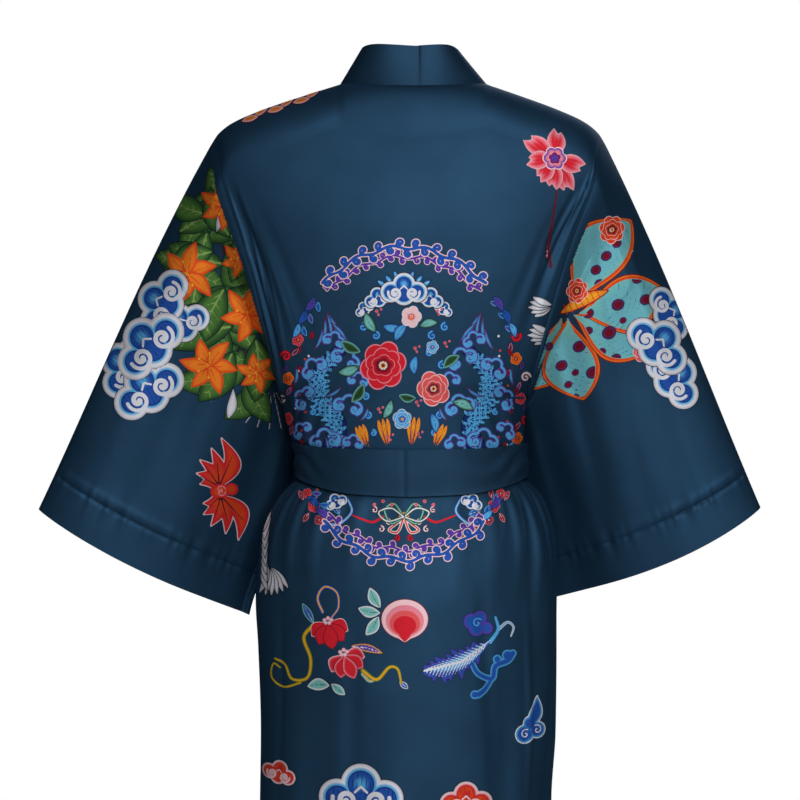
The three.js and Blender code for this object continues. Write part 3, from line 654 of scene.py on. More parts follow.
def knot_grid():
    """The knot: an egg shape with a band wound over it and creases that run into its ends."""
    a = np.linspace(0, 2 * np.pi, 97)[:-1][None, :]
    b = np.linspace(0.02, np.pi - 0.02, 49)[:, None]
    x, y, z = np.sin(b) * np.cos(a), np.sin(b) * np.sin(a), np.cos(b) + 0 * a
    wound = smooth((0.42 - np.abs(x * 0.9 + z * 0.28)) / 0.12)
    crease = 0.03 * np.sin(14 * np.arctan2(z, np.abs(y) + 0.2) + 3 * x) * (1 - wound)
    r = 0.93 + 0.07 * wound + crease
    wide, deep, tall = KNOT_SIZE
    return stack(wide * x * r, deep * y * r - KNOT_Y, tall * z * r + KNOT_Z)


# The print. A layer is a field that is negative inside its shape, the circle that
# holds it, its ink, and the ink it fades to at its edge. Places are in
# millimetres: h to the right as the panel is looked at, z up. Layers lie in the
# order of their list, the first on top.


def turned(x, z, deg, a, b):
    """A place a along and b across a direction from a place."""
    c, s = math.cos(math.radians(deg)), math.sin(math.radians(deg))
    return x + a * c - b * s, z + a * s + b * c


def about(x, z, deg, size=1):
    """The function that gives places along and across a direction from a place, in units of a size."""
    return lambda a, b=0: turned(x, z, deg, a * size, b * size)


def local(p, x, z, deg):
    """Coordinates along and across a direction from a place."""
    c, s = math.cos(math.radians(deg)), math.sin(math.radians(deg))
    a, b = p[:, 0] - x, p[:, 1] - z
    return a * c + b * s, b * c - a * s


def disc(x, z, r, tall=1.0, deg=0.0):
    """An ellipse: the length of the place, squeezed across, less the radius."""
    def field(p):
        a, b = local(p, x, z, deg)
        return np.hypot(a, b / tall) - r
    return field, (x, z, r * max(1, tall))


def rosette(x, z, r, petals, depth, deg=0.0, tall=1.0):
    """A disc whose radius swells and dips with the cosine of the angle, once for each petal."""
    def field(p):
        a, b = local(p, x, z, deg)
        swell = np.abs(np.cos(petals * np.arctan2(b / tall, a) / 2)) ** 0.7
        return np.hypot(a, b / tall) - r * (1 - depth + depth * swell)
    return field, (x, z, r * max(1, tall))


def leaf(x, z, deg, length, wide, bow=0.0, full=1.0):
    """From a place along a direction: the half width is the sine of a power of the share of the length, and the
    middle line bows by a sine."""
    def field(p):
        a, b = local(p, x, z, deg)
        t = np.clip(a / length, 0, 1)
        half = wide * np.sin(np.pi * t**full) ** 0.85
        return np.maximum(np.abs(b - bow * np.sin(np.pi * t)) - half, np.maximum(-a, a - length))
    c, s = math.cos(math.radians(deg)), math.sin(math.radians(deg))
    return field, (x + c * length / 2, z + s * length / 2, length / 2 + wide + abs(bow))


def stroke(points, first, last):
    """A line through points: the distance to the nearest stretch less a half width from first to last."""
    q = np.asarray(points, float)
    wide = np.linspace(first, last, len(q))
    def field(p):
        best = np.full(len(p), 1e9)
        for k in range(len(q) - 1):
            d = q[k + 1] - q[k]
            t = np.clip((p - q[k]) @ d / max(d @ d, 1e-9), 0, 1)
            away = np.linalg.norm(p - q[k] - t[:, None] * d, axis=1)
            best = np.minimum(best, away - mix(wide[k], wide[k + 1], t))
        return best
    middle = (q.min(0) + q.max(0)) / 2
    return field, (*middle, np.linalg.norm(q.max(0) - q.min(0)) / 2 + max(first, last))


def joined(*shapes):
    """Several shapes as one: the least of the fields of those near by."""
    def field(p):
        best = np.full(len(p), 99.0)
        for f, (x, z, r) in shapes:
            near = np.flatnonzero(np.hypot(p[:, 0] - x, p[:, 1] - z) < r + 6)
            if len(near):
                best[near] = np.minimum(best[near], f(p[near]))
        return best
    around = np.array([b for _, b in shapes])
    middle = around[:, :2].mean(0)
    return field, (*middle, (np.linalg.norm(around[:, :2] - middle, axis=1) + around[:, 2]).max())


def within(shape, other):
    """The part of a shape that lies inside another: the greater of their fields."""
    (f, bound), (g, _) = shape, other
    return (lambda p: np.maximum(f(p), g(p))), bound


def grown(shape, d):
    """A shape with its edge moved out by d."""
    field, (x, z, r) = shape
    return (lambda p: field(p) - d), (x, z, r + max(d, 0))


def ink(shape, colour, edge=None, depth=6.0):
    """A layer: a shape in an ink, fading to another over depth at its edge."""
    return (*shape, colour, edge or colour, depth)


def rimmed(shape, inks, width, rim):
    """A shape in its inks over the same shape, grown by a width, in its rim's."""
    return [ink(shape, *inks), ink(grown(shape, width), *rim)]


def curve(*points, steps=6):
    """A smooth line through points, in cubic pieces whose slope at a point is half the way between its
    neighbours."""
    q = np.array(points, float)
    ext = np.vstack((2 * q[0] - q[1], q, 2 * q[-1] - q[-2]))
    t = np.linspace(0, 1, steps, endpoint=False)[:, None]
    runs = []
    for a, b, c, d in zip(ext, ext[1:], ext[2:], ext[3:]):
        runs.append(0.5 * (
            2 * b + (c - a) * t + (2 * a - 5 * b + 4 * c - d) * t**2 + (3 * b - a - 3 * c + d) * t**3
        ))
    return np.vstack(runs + [q[-1:]])


def coil(x, z, r, deg, turns, steps=22, small=0.12):
    """A spiral inwards: the radius falls in proportion to the angle."""
    t = np.linspace(0, 1, steps)
    a = np.radians(deg + 360 * turns * t)
    own = r * mix(1, small, t)
    return np.stack((x + own * np.cos(a), z + own * np.sin(a)), 1)


def coil_stroke(x, z, r, deg, side):
    """A small coil as a line."""
    return stroke(coil(x, z, r, deg, side * 1.1, 12), 0.7, 0.7)


def arc(x, z, r, first, last, steps):
    """Points on a circle between two angles."""
    a = np.radians(np.linspace(first, last, steps))
    return np.stack((x + r * np.cos(a), z + r * np.sin(a)), 1)


def lengths(q):
    """How far along a line each of its points lies."""
    return np.concatenate(([0], np.cumsum(np.linalg.norm(np.diff(q, axis=0), axis=1))))


def on_line(q, along, s):
    """The place at a length along a line, and the line's direction there."""
    x, z = np.interp(s, along, q[:, 0]), np.interp(s, along, q[:, 1])
    e = np.interp(s + 1, along, q[:, 0]) - x, np.interp(s + 1, along, q[:, 1]) - z
    return x, z, math.degrees(math.atan2(e[1], e[0]))


def sprig(x, z, deg, length, wide, body, edge, rib, bow=0.0):
    """A leaf with its rib and, where it is long, side veins."""
    own, spot = leaf(x, z, deg, length, wide, bow), about(x, z, deg)
    middle = [spot(0.06 * length), spot(0.5 * length, bow), spot(0.92 * length, bow * 0.25)]
    ribs = [stroke(middle, max(0.5, wide * 0.07), 0.3)]
    for t in (k / 6.5 for k in range(1, 6) if length > 30):
        rise, reach = bow * math.sin(math.pi * t), wide * 0.75 * math.sin(math.pi * t) ** 0.85
        for side in (1, -1):
            vein = [spot(t * length, rise), spot((t + 0.13) * length, rise + side * reach)]
            ribs.append(stroke(vein, wide * 0.045, 0.25))
    return [ink(joined(*ribs), rib), *rimmed(own, (body, edge, wide * 0.5), max(0.6, wide * 0.06), ("dark",))]


def bloom(x, z, r, petals, main, deep, rim, heart="gold", deg=0.0, tall=0.92):
    """A flower seen from above: heart and stamens, then three rings of petals, each rimmed and parted by dark
    lines."""
    dots = [disc(*turned(x, z, deg + 360 * k / 9, r * 0.14, 0), r * 0.04) for k in range(9)]
    out = [ink(disc(x, z, r * 0.07), deep), ink(joined(*dots), "white")]
    out += [ink(disc(x, z, r * 0.2), heart, deep, r * 0.12)]
    for ring, (size, lines) in enumerate(((0.48, 5), (0.76, petals), (1.0, petals))):
        turn = deg + ring * 180 / petals
        ways = [about(x, z, turn + 360 * (k + 0.5) / lines, r * size) for k in range(lines)]
        parts = [stroke([spot(0.42), spot(0.8)], 0.45 + r * 0.006, 0.3) for spot in ways]
        inner, outer = (rosette(x, z, r * size * k, lines, 0.2, turn, tall) for k in (0.94, 1))
        out += [ink(joined(*parts), deep), ink(inner, main if ring else deep, main, r * 0.2), ink(outer, rim)]
    return out


def lily(x, z, r, deg, main, deep, rim):
    """A flower of six pointed petals with a line down each and long stamens."""
    ways = [about(x, z, deg + 25 + 60 * k) for k in range(4)]
    threads = [stroke([(x, z), spot(r * 0.42, 3)], 0.5, 0.5) for spot in ways]
    out = [ink(joined(*threads, *[disc(*spot(r * 0.43, 3), 1.5) for spot in ways]), "gold")]
    for k in (0, 2, 4, 1, 3, 5):
        spot = about(x, z, deg + 60 * k)
        own = leaf(x, z, deg + 60 * k, r * (1 if k % 2 else 1.08), r * 0.24, r * 0.07, 0.8)
        out += [ink(stroke([spot(r * 0.15), spot(r * 0.8, r * 0.05)], 0.8, 0.3), deep)]
        out += rimmed(own, (main, rim, r * 0.12), 0.8, (deep,))
    return out


def cloud(x, z, size, fill, edge, rim="white", deg=0.0, border=0.07):
    """A cloud head: a hump between two lobes, rimmed twice, with a pair of fine coils that meet over its foot
    and fine hatching."""
    spot = about(x, z, deg, size)
    lobes = ((0, 0.3, 0.36), (-0.5, 0, 0.33), (0.5, 0, 0.33), (0, -0.08, 0.36))
    own = joined(*[disc(*spot(a, b), size * r) for a, b, r in lobes])
    lines = []
    for side in (-1, 1):
        path = coil(0, 0, size * 0.27, 90 - side * 75, -side * 1.45, 30)
        path = np.stack(about(*spot(side * 0.34, -0.05), deg)(path[:, 0], path[:, 1]), 1)
        lines.append(stroke(path, size * 0.036 + 0.3, size * 0.058 + 0.3))
    fine, finest = size * 0.02 + 0.25, size * 0.006 + 0.2
    lines.append(stroke([spot(-0.13, 0.12), spot(0, 0.24), spot(0.13, 0.12)], fine, fine))
    hatch = [stroke([spot(a, -0.4), spot(a + 0.1, 0.7)], finest, finest) for a in np.linspace(-0.82, 0.72, 17)]
    shade, rimming = ("deep", "deep") if fill == "blue" else ("wine", edge)
    return [
        ink(joined(*lines), rim),
        ink(within(joined(*hatch), grown(own, -size * 0.1)), shade),
        ink(disc(*spot(0, 0.3), size * 0.2), edge, fill, size * 0.16),
        ink(grown(own, -size * 0.075), fill, rimming, size * 0.05),
        ink(own, edge, rim, size * 0.05),
        ink(grown(own, size * border), rim, "grey", size * border * 0.6),
        ink(grown(own, size * border + 0.8), "dark"),
    ]


def scrolls(path, size, fill, rim, gap):
    """Small coils in turn to either side along a line, rimmed, on a running stem."""
    q = np.asarray(path, float)
    along, lines = lengths(q), [stroke(q, size * 0.13, size * 0.1)]
    count = max(2, int(along[-1] / (size * gap)))
    for k in range(count):
        x, z, deg = on_line(q, along, (k + 0.5) / count * along[-1])
        side = 1 if k % 2 else -1
        middle = turned(x, z, deg, 0, side * size * 0.38)
        turn = coil(*middle, size * 0.36, deg - side * 90, side * 1.1, 16)
        lines.append(stroke(turn, size * 0.13, size * 0.1))
    return rimmed(joined(*lines), (fill,), size * 0.075, (rim,))


def plume(x, z, deg, length, wide, body, edge):
    """A feather: a pale shaft with barbs on a pale vane, in a ragged coloured fringe."""
    spot, bow = about(x, z, deg), -wide * 0.42
    barbs, tufts = [stroke([(x, z), spot(length * 0.5, bow), spot(length)], 0.9, 0.5)], []
    for k in range(1, 19):
        t = k / 20
        rise, reach = bow * math.sin(math.pi * t), wide * 0.5 * math.sin(math.pi * t) ** 0.6
        root = spot(length * t, rise)
        for side in (1, -1):
            barbs.append(stroke([root, spot(length * t - reach * 1.15, rise + side * reach)], 0.8, 0.35))
            turn, long = 128 + 9 * math.sin(5 * k), reach * (1.9 + 0.5 * math.sin(3.7 * k + side))
            tufts.append(leaf(*root, deg + side * turn, long, 3.1, side * 2))
    vane = leaf(x, z, deg, length, wide * 0.42, bow)
    fringe = rimmed(joined(*tufts), (edge, "violet", 1.6), 0.7, ("deep",))
    return [ink(joined(*barbs), body), ink(vane, "sky", edge, wide * 0.22), *fringe]


def bat(x, z, deg, size, main, deep):
    """A bat of good luck: two scalloped wings, a round body, ears and a tail."""
    wings, ribs, marks = [], [], []
    for side in (1, -1):
        root = turned(x, z, deg, 0, side * size * 0.1)
        marks.append(coil_stroke(*turned(x, z, deg, size * 0.02, side * size * 0.03), size * 0.09, deg, side))
        wings.append(leaf(*root, deg + side * 78, size, size * 0.17, -side * size * 0.24, 0.75))
        for k in range(4):
            turn, long = deg + side * (92 + 24 * k), size * (0.8 - 0.14 * k)
            wings.append(leaf(*root, turn, long, size * 0.13, -side * size * 0.08, 0.6))
            tip = turned(x, z, deg + side * (62 + 24 * k), size * (0.8 - 0.1 * k), 0)
            ribs.append(stroke([root, tip], 0.8, 0.4))
    body = joined(disc(x, z, size * 0.2, 0.75, deg), disc(*turned(x, z, deg, size * 0.24, 0), size * 0.13))
    return [
        ink(joined(*marks), "rose"),
        ink(body, main, deep, size * 0.1),
        ink(joined(*ribs), "dark"),
        *rimmed(joined(*wings), (main, deep, size * 0.14), 1.3, ("petal", "grey", 1)),
    ]


def fine_cloud(x, z, size, deg):
    """A cloud drawn in one fine line with a coil at each end, and a second line round it."""
    paths = []
    for side in (-1, 1):
        paths.append(coil(side * size * 0.42, -size * 0.05, size * 0.26, 90 - side * 75, -side * 1.15, 16, 0.2))
    for across, up, *turn in ((-0.46, 0.02, 245, 75, 12), (0, 0.34, 168, 12, 10), (0.46, 0.02, 105, -65, 12)):
        paths.append(arc(across * size, up * size, 0.36 * size, *turn))
    spot, wide = about(x, z, deg), size * 0.05 + 0.3
    own = joined(*[stroke(np.stack(spot(q[:, 0], q[:, 1]), 1), wide, wide) for q in paths])
    return rimmed(own, ("sky",), 1.1, ("violet",))


def wave_scales(q, wide, r, line, ground):
    """Rows of overlapping wave arcs, two to a scale, filling a band along a line."""
    along, arcs = lengths(q), []
    rows = int(along[-1] / (r * 1.05))
    for row in range(rows):
        share = (row + 0.5) / rows
        x, z, deg = on_line(q, along, share * along[-1])
        half = wide * math.sin(math.pi * (0.12 + 0.8 * share)) ** 0.7
        count = max(1, int(2 * half / (2 * r)))
        for k in range(count):
            b = (k - (count - 1) / 2 + (0.25 if row % 2 else -0.25)) * 2 * r
            middle = turned(x, z, deg, 0, b)
            arcs += [stroke(arc(*middle, size, deg - 78, deg + 78, 7), 0.62, 0.62) for size in (r, r * 0.5)]
    return [ink(joined(*arcs), line), ink(stroke(q, wide * 0.6, wide * 0.9), ground, "dark", 2)]


# The oval on the back: blossom, wave scales, fine clouds and tassels in a border.
OVAL_X, OVAL_Z, OVAL_WIDE, OVAL_TALL = -7, -366, 147, 182


def in_oval(deg, share=1.0):
    """A place in the oval at an angle and a share of the way out."""
    x = OVAL_X + OVAL_WIDE * share * math.cos(math.radians(deg))
    return x, OVAL_Z + OVAL_TALL * share * math.sin(math.radians(deg))


def beside(side, dx, dz, wide=OVAL_WIDE, z=OVAL_Z):
    """A place to one side of the oval's middle line."""
    return OVAL_X + side * wide * dx, z + dz


def oval_middle():
    """The oval's flowers and leaves, the clouds at its head and the golden tassels over the belt."""
    out = []
    for deg, share, r, petals, main, deep, rim, turn in (
        (124, 0.29, 29, 6, "red", "wine", "rose", 10), (22, 0.25, 21, 5, "coral", "wine", "petal", 40),
        (84, 0.55, 13, 5, "petal", "coral", "white", 0), (262, 0.1, 12, 5, "sky", "blue", "white", 20),
        (58, 0.42, 8, 5, "sky", "blue", "white", 0),
    ):
        out += bloom(*in_oval(deg, share), r, petals, main, deep, rim, deg=turn)
    shades = (("teal", "forest"), ("forest", "teal"), ("sky", "blue"))
    for k, (deg, share, turn, size, half) in enumerate((
        (146, 0.42, 196, 26, 6), (158, 0.34, 238, 26, 6), (100, 0.4, 56, 24, 5.5), (116, 0.5, 118, 26, 6),
        (136, 0.47, 150, 26, 6), (66, 0.2, 84, 22, 5), (2, 0.38, -22, 26, 6), (36, 0.38, 38, 24, 5.5),
        (344, 0.22, 284, 24, 5), (166, 0.1, 246, 24, 5), (20, 0.1, 170, 20, 5), (92, 0.48, 175, 22, 5),
        (76, 0.5, 12, 22, 5),
    )):
        out += sprig(*in_oval(deg, share), turn, size, half, *shades[k % 3], "dark", 2)
    for deg, share in (
        (110, 0.62), (66, 0.64), (50, 0.5), (5, 0.1), (190, 0.2), (300, 0.22), (240, 0.24), (76, 0.36),
    ):
        x, z = in_oval(deg, share)
        berries = joined(disc(x, z, 1.9), disc(x + 5, z + 2, 1.5), disc(x + 2, z - 4, 1.5))
        out += [ink(berries, "red", "rose", 1)]
    out += cloud(OVAL_X, OVAL_Z + 128, 30, "blue", "sky")
    for side in (-1, 1):
        for dx, dz, size, turn in ((29, 120, 19, -18), (45, 108, 13, -30)):
            out += cloud(*beside(side, dx, dz, 1), size, "blue", "sky", deg=side * turn)
        for k in range(3):
            place = beside(side, 6 + 7 * k, 140 - 3 * k, 1)
            out += sprig(*place, 90 - side * (24 + 16 * k), 13, 2.6, "sky", "blue", "white")
    for x, turn, size in ((-40, 112, 32), (-18, 100, 38), (8, 84, 40), (34, 70, 33)):
        for k in (-1, 0, 1):
            place = OVAL_X + x, OVAL_Z - 54, turn + 8 * k
            spot, own = about(*place), leaf(*place, size, 2.3, 1.5 * k, 2.2)
            out += [ink(stroke([spot(8), spot(size * 0.85, k)], 0.4, 0.5), "flame")]
            out += [ink(own, "gold", "orange", 1.6)]
    return out


def oval_side(side):
    """At a side of the oval fine clouds and coils, long leaves, and a curved bank of wave scales."""
    out = []
    for dx, dz, size, turn in (
        (0.46, 50, 20, 24), (0.7, 40, 18, -34), (0.36, 26, 14, 10), (0.44, -4, 20, 14), (0.78, 6, 17, -60),
        (0.62, -44, 21, -8), (0.4, -46, 14, 10), (0.8, -32, 14, -40), (0.55, 72, 15, 16),
    ):
        out += fine_cloud(*beside(side, dx, dz), size, side * turn)
    for dx, dz, turn, size in (
        (0.44, 70, 50, 30), (0.5, 72, 66, 34), (0.57, 71, 82, 34), (0.64, 68, 96, 31), (0.7, 62, 112, 26),
        (0.5, -60, 100, 22), (0.6, -62, 84, 24), (0.7, -60, 66, 22), (0.4, -58, 118, 20), (0.62, 8, 150, 22),
        (0.6, 0, 168, 20), (0.84, -12, 100, 22), (0.86, 22, 96, 20), (0.34, -20, 120, 18),
    ):
        own = leaf(*beside(side, dx, dz), turn if side > 0 else 180 - turn, size, 1.7, side * 2)
        out += rimmed(own, ("sky", "blue", 1.4), 0.7, ("plum",))
    for dx, dz, r in (
        (0.3, 44, 5), (0.3, 8, 4.5), (0.28, -14, 4.5), (0.24, -34, 4), (0.22, 78, 5), (0.32, 88, 5),
        (0.86, -50, 4), (0.72, -10, 4), (0.2, 58, 4),
    ):
        own = stroke(coil(*beside(side, dx, dz), r, 90, side * 1.3, 14), 0.9, 0.5)
        out += rimmed(own, ("sky",), 0.6, ("blue",))
    bends = ((0.5, 62), (0.66, 34), (0.66, 4), (0.52, -24), (0.58, -56))
    band = curve(*[beside(side, dx, dz) for dx, dz in bends], steps=8)
    return out + wave_scales(band, 13, 3.9, "sky", "deep")


def oval_border():
    """The oval's border: scrolls with pale rims over and under, leaves and blossom at the sides."""
    out = []
    for first, last in ((50, 130), (230, 310)):
        for share, size, colour in ((0.985, 14, "blue"), (0.925, 10, "violet")):
            turns = np.linspace(first, last, 70)
            line = [in_oval(d, share + 0.013 * math.cos(math.radians(d * 22.5))) for d in turns]
            out += scrolls(line, size, colour, "petal", 0.74)
    for k, deg in enumerate((136, 142, 148, 44, 38, 32, 224, 218, 316, 322)):
        way = deg + (100 if math.cos(math.radians(deg)) < 0 else -100)
        out += sprig(*in_oval(deg, 0.97), way, 19, 4, ("violet", "blue", "sky")[k % 3], "blue", "dark", 2)
        out += sprig(*in_oval(deg, 0.93), way + 40, 13, 3, ("blue", "violet")[k % 2], "sky", "dark", -1)
    for k, deg in enumerate((26, 18, 10, 2, 354, 346, 338, 154, 162, 170, 178, 186, 194, 202)):
        share, pick = 0.95 + 0.025 * (-1) ** k, k // 2 % 2
        if k % 2:
            flower = ("flame", "red")[pick], "wine", ("gold", "rose")[pick]
            out += bloom(*in_oval(deg, share), 7.4, 5, *flower)
        else:
            own = stroke(coil(*in_oval(deg, share), 6, deg, 1.4 if k % 4 else -1.4, 16), 1.2, 0.6)
            out += rimmed(own, (("red", "white")[pick],), 0.7, ("wine",))
        pair = "plum" if k % 3 else "violet", "rose" if k % 2 else "blue"
        out += sprig(*in_oval(deg + 3, share - 0.03), deg + 70, 12, 2.4, *pair, "dark")
        out += sprig(*in_oval(deg - 3, share - 0.09), deg - 80, 10, 2, "wine", "red", "dark")
        out += [ink(disc(*in_oval(deg + 4, share - 0.12), 1.5), "white")]
        out += [ink(disc(*in_oval(deg - 2, share - 0.15), 1.4), "flame")]
    return out


def oval_bow():
    """Under the belt a bow of white and red ribbon with berries, clouds and sprays."""
    out, low = [], OVAL_Z - 131
    for side in (-1, 1):
        def spot(dx, dz=0):
            return beside(side, dx, dz, 1, low)

        def line(*places):
            return curve(*[spot(*place) for place in places], steps=8)

        berries = [disc(*spot(14 + 10 * k, 14 + (k % 2) * 4), 2.1) for k in range(3)]
        out += [ink(joined(*berries), "red", "rose", 1.5)]
        for reach, tall, colour in ((29, 10, "white"), (22, 15, "teal")):
            loop = line((0, 0), (reach * 0.5, tall), (reach, tall * 0.5), (reach * 0.65, -tall * 0.5), (0, 0))
            out += [ink(stroke(loop, 0.8, 0.8), colour), ink(stroke(loop, 1.7, 1.7), "forest")]
        loop = line((0, 0), (9, -8), (17, -15), (7, -17), (0, 0))
        out += [ink(stroke(loop, 0.9, 0.9), "flame"), ink(stroke(loop, 1.7, 1.7), "white")]
        out += [ink(stroke(line((24, 0), (36, -6), (50, -2), (60, 2)), 1.6, 0.8), "red")]
        for dx, dz in ((18, -6), (34, 8), (8, -24), (26, -14)):
            own = stroke(coil(*spot(dx, dz), 4, 90, side * 1.2, 12), 0.7, 0.5)
            out += rimmed(own, ("white" if dx % 4 else "red",), 0.5, ("wine",))
        out += cloud(*spot(78, 16), 15, "blue", "sky", deg=side * -24)
        out += sprig(*spot(74, 2), 70 - side * 50, 16, 4, "blue", "sky", "white")
        out += sprig(*spot(84, 2), 110 - side * 40, 14, 3.4, "deep", "sky", "white")
        hook = line((66, 22), (60, 6), (74, -8), (88, -9))
        out += [ink(stroke(hook, 1.0, 1.4), "white", "sky", 1.6), ink(stroke(hook, 1.7, 2.1), "blue")]
        for dx, dz, r, colour in ((104, 12, 8, "red"), (98, -4, 6, "wine"), (112, 26, 6, "red")):
            out += bloom(*spot(dx, dz), r, 5, colour, "wine", "rose")
        for dx, dz, turn in ((110, 4, -60), (92, -10, 200), (116, 18, 60), (102, 20, 100)):
            out += sprig(*spot(dx, dz), turn if side > 0 else 180 - turn, 13, 3, "wine", "rose", "petal")
    return out + bloom(OVAL_X, low, 6.5, 6, "gold", "wine", "red")


def medallion():
    """The oval, from its top layer down."""
    return oval_middle() + oval_side(-1) + oval_side(1) + oval_border() + oval_bow()


def feather(*shape):
    """A white feather's barb, rimmed dark."""
    return rimmed(leaf(*shape), ("white", "grey", 2), 0.8, ("dark",))


def shoulder_flower():
    """A single flower at the right shoulder."""
    x, z = 167, -83
    out = [ink(rosette(x, z, 7, 5, 0.3, 20), "violet", "wine", 4)]
    out += [ink(rosette(x, z, 13, 6, 0.22), "rose", "violet", 5), ink(rosette(x, z, 14.4, 6, 0.22), "petal")]
    for turn, long in ((-173, 33), (144, 41), (84, 34), (-17, 36), (-127, 32), (-94, 36), (-66, 42)):
        own = joined(*[leaf(x, z, turn + more, long * share, *shape) for more, share, *shape in (
            (7, 1, 6.2, 1.5, 1.35), (-8, 0.9, 6.2, -1.5, 1.35), (0, 0.85, 7.4, 0, 1.25),
        )])
        ways = [about(x, z, turn + spread) for spread in (-11, 0, 11)]
        folds = joined(*[stroke([spot(13), spot(long * 0.72, 0.8)], 0.9, 0.3) for spot in ways])
        out += [ink(folds, "wine", "red", 1), *rimmed(own, ("red", "rose", 6), 1, ("petal", "wine", 0.5))]
    return out


def spray():
    """A spray of two flowers on looped stems."""
    out = []
    for x, z, turn in ((-94, -628, -80), (-76, -664, -65)):
        dots = ((-4, 0), (0, 2.5), (4, 0.5), (1.5, -3), (-2.5, -3))
        out += [ink(joined(*[disc(x + dx, z + 13 + dz, 2.3) for dx, dz in dots]), "white", "rose", 1.6)]
        for k, spread in enumerate((0, -32, 32, -60, 60)):
            own = leaf(x, z + 10, turn + spread, 30 - abs(spread) * 0.1, 8, spread * 0.03, 1.35)
            inks = "red", "rose" if z < -640 else "red", 3
            out += rimmed(own, inks, 0.9, ("petal" if k > 2 else "wine",))
    for colour, edge, first, last, *places in (
        ("blue", "blue", 2.2, 1.6, (-100, -606), (-106, -590), (-98, -577), (-84, -583), (-82, -600),
         (-90, -612)),
        ("olive", "olive", 2.4, 1.4, (-112, -622), (-122, -636), (-114, -660), (-118, -682), (-136, -684),
         (-144, -668), (-156, -662)),
        ("olive", "olive", 1.5, 1.1, (-126, -688), (-146, -694), (-160, -684), (-158, -668), (-150, -672)),
        ("olive", "olive", 2.4, 1.4, (-54, -672), (-38, -682), (-24, -668), (-14, -670), (-10, -686)),
        ("sky", "teal", 2.2, 1.2, (-54, -676), (-46, -684), (-36, -680)),
    ):
        path = curve(*places)
        out += [ink(stroke(path, first * 0.45, last * 0.4), "gold")]
        out += [ink(stroke(path, first, last), colour, edge, 2)]
    for place, long, wide, body, edge, rib, bow in (
        ((-110, -620, 120), 28, 4.6, "blue", "teal", "white", 0),
        ((-68, -644, -12), 38, 4.4, "violet", "gold", "white", 2),
        ((-92, -690, 184), 26, 7, "teal", "white", "dark", -2),
        ((-90, -688, -38), 20, 5, "teal", "white", "dark", 0),
        ((-12, -684, -40), 13, 3.6, "blue", "white", "white", 0),
    ):
        out += sprig(*place, long, wide, body, edge, rib, bow)
    return out


def peach():
    """A peach with three leaves."""
    out = []
    for k, colour in enumerate(("red", "coral", "rose")):
        shade = leaf(-6, -612 + 2 * k, -90, 27 + 1.6 * k, 8 + 3 * k, 0, 0.8)
        out.append(ink(joined(disc(-6, -620 + 2.6 * k, 13 + 4.4 * k, 0.83), shade), colour))
    own = joined(disc(-6, -613, 26.4, 0.85), leaf(-6, -610, -90, 29, 17, 0, 0.75))
    out += rimmed(own, ("petal",), 0.9, ("wine",))
    for x, z, turn in ((-34, -600, 118), (-34, -606, 168), (-36, -610, 236)):
        out += sprig(x, z, turn, 26, 6.5, "teal", "white", "forest", 1.5)
    return out


def blue_plume():
    """A blue plume with cloud scrolls."""
    out = plume(16, -672, 24, 84, 19, "white", "blue")
    out += [ink(stroke(curve((92, -640), (101, -626), (98, -612)), 2.2, 1.4), "sky")]
    hook = curve((101, -626), (112, -618), (119, -624), (116, -634))
    out += [ink(stroke(hook, 1.9, 1.0), "sky", "white", 1.4)]
    puff = joined(disc(70, -616, 9), disc(80, -612, 8), disc(76, -624, 9), disc(88, -624, 7))
    out += [ink(coil_stroke(77, -618, 6, 40, 1), "sky"), *rimmed(puff, ("blue", "violet", 4), 0.8, ("deep",))]
    low = stroke(curve((70, -662), (78, -676), (94, -682), (98, -668), (112, -662), (118, -654)), 3.4, 4.6)
    tail = stroke(curve((94, -682), (86, -694), (78, -700)), 3.2, 4.4)
    ends = disc(100, -660, 5), disc(112, -656, 6.5), disc(74, -700, 5)
    return out + [ink(joined(low, tail, *ends), "blue", "sky", 2.6)]


def flame_cloud():
    """A small cloud with a flame-like tail."""
    lobes = disc(132, -748, 10), disc(147, -744, 9), disc(139, -736, 8)
    wisp = joined(*lobes, leaf(137, -740, 74, 36, 7, -4, 0.8))
    coils = joined(coil_stroke(133, -748, 6, 60, 1), coil_stroke(147, -744, 6, 120, -1))
    return [ink(coils, "white"), *rimmed(wisp, ("blue", "sky", 3), 1.2, ("white",))]


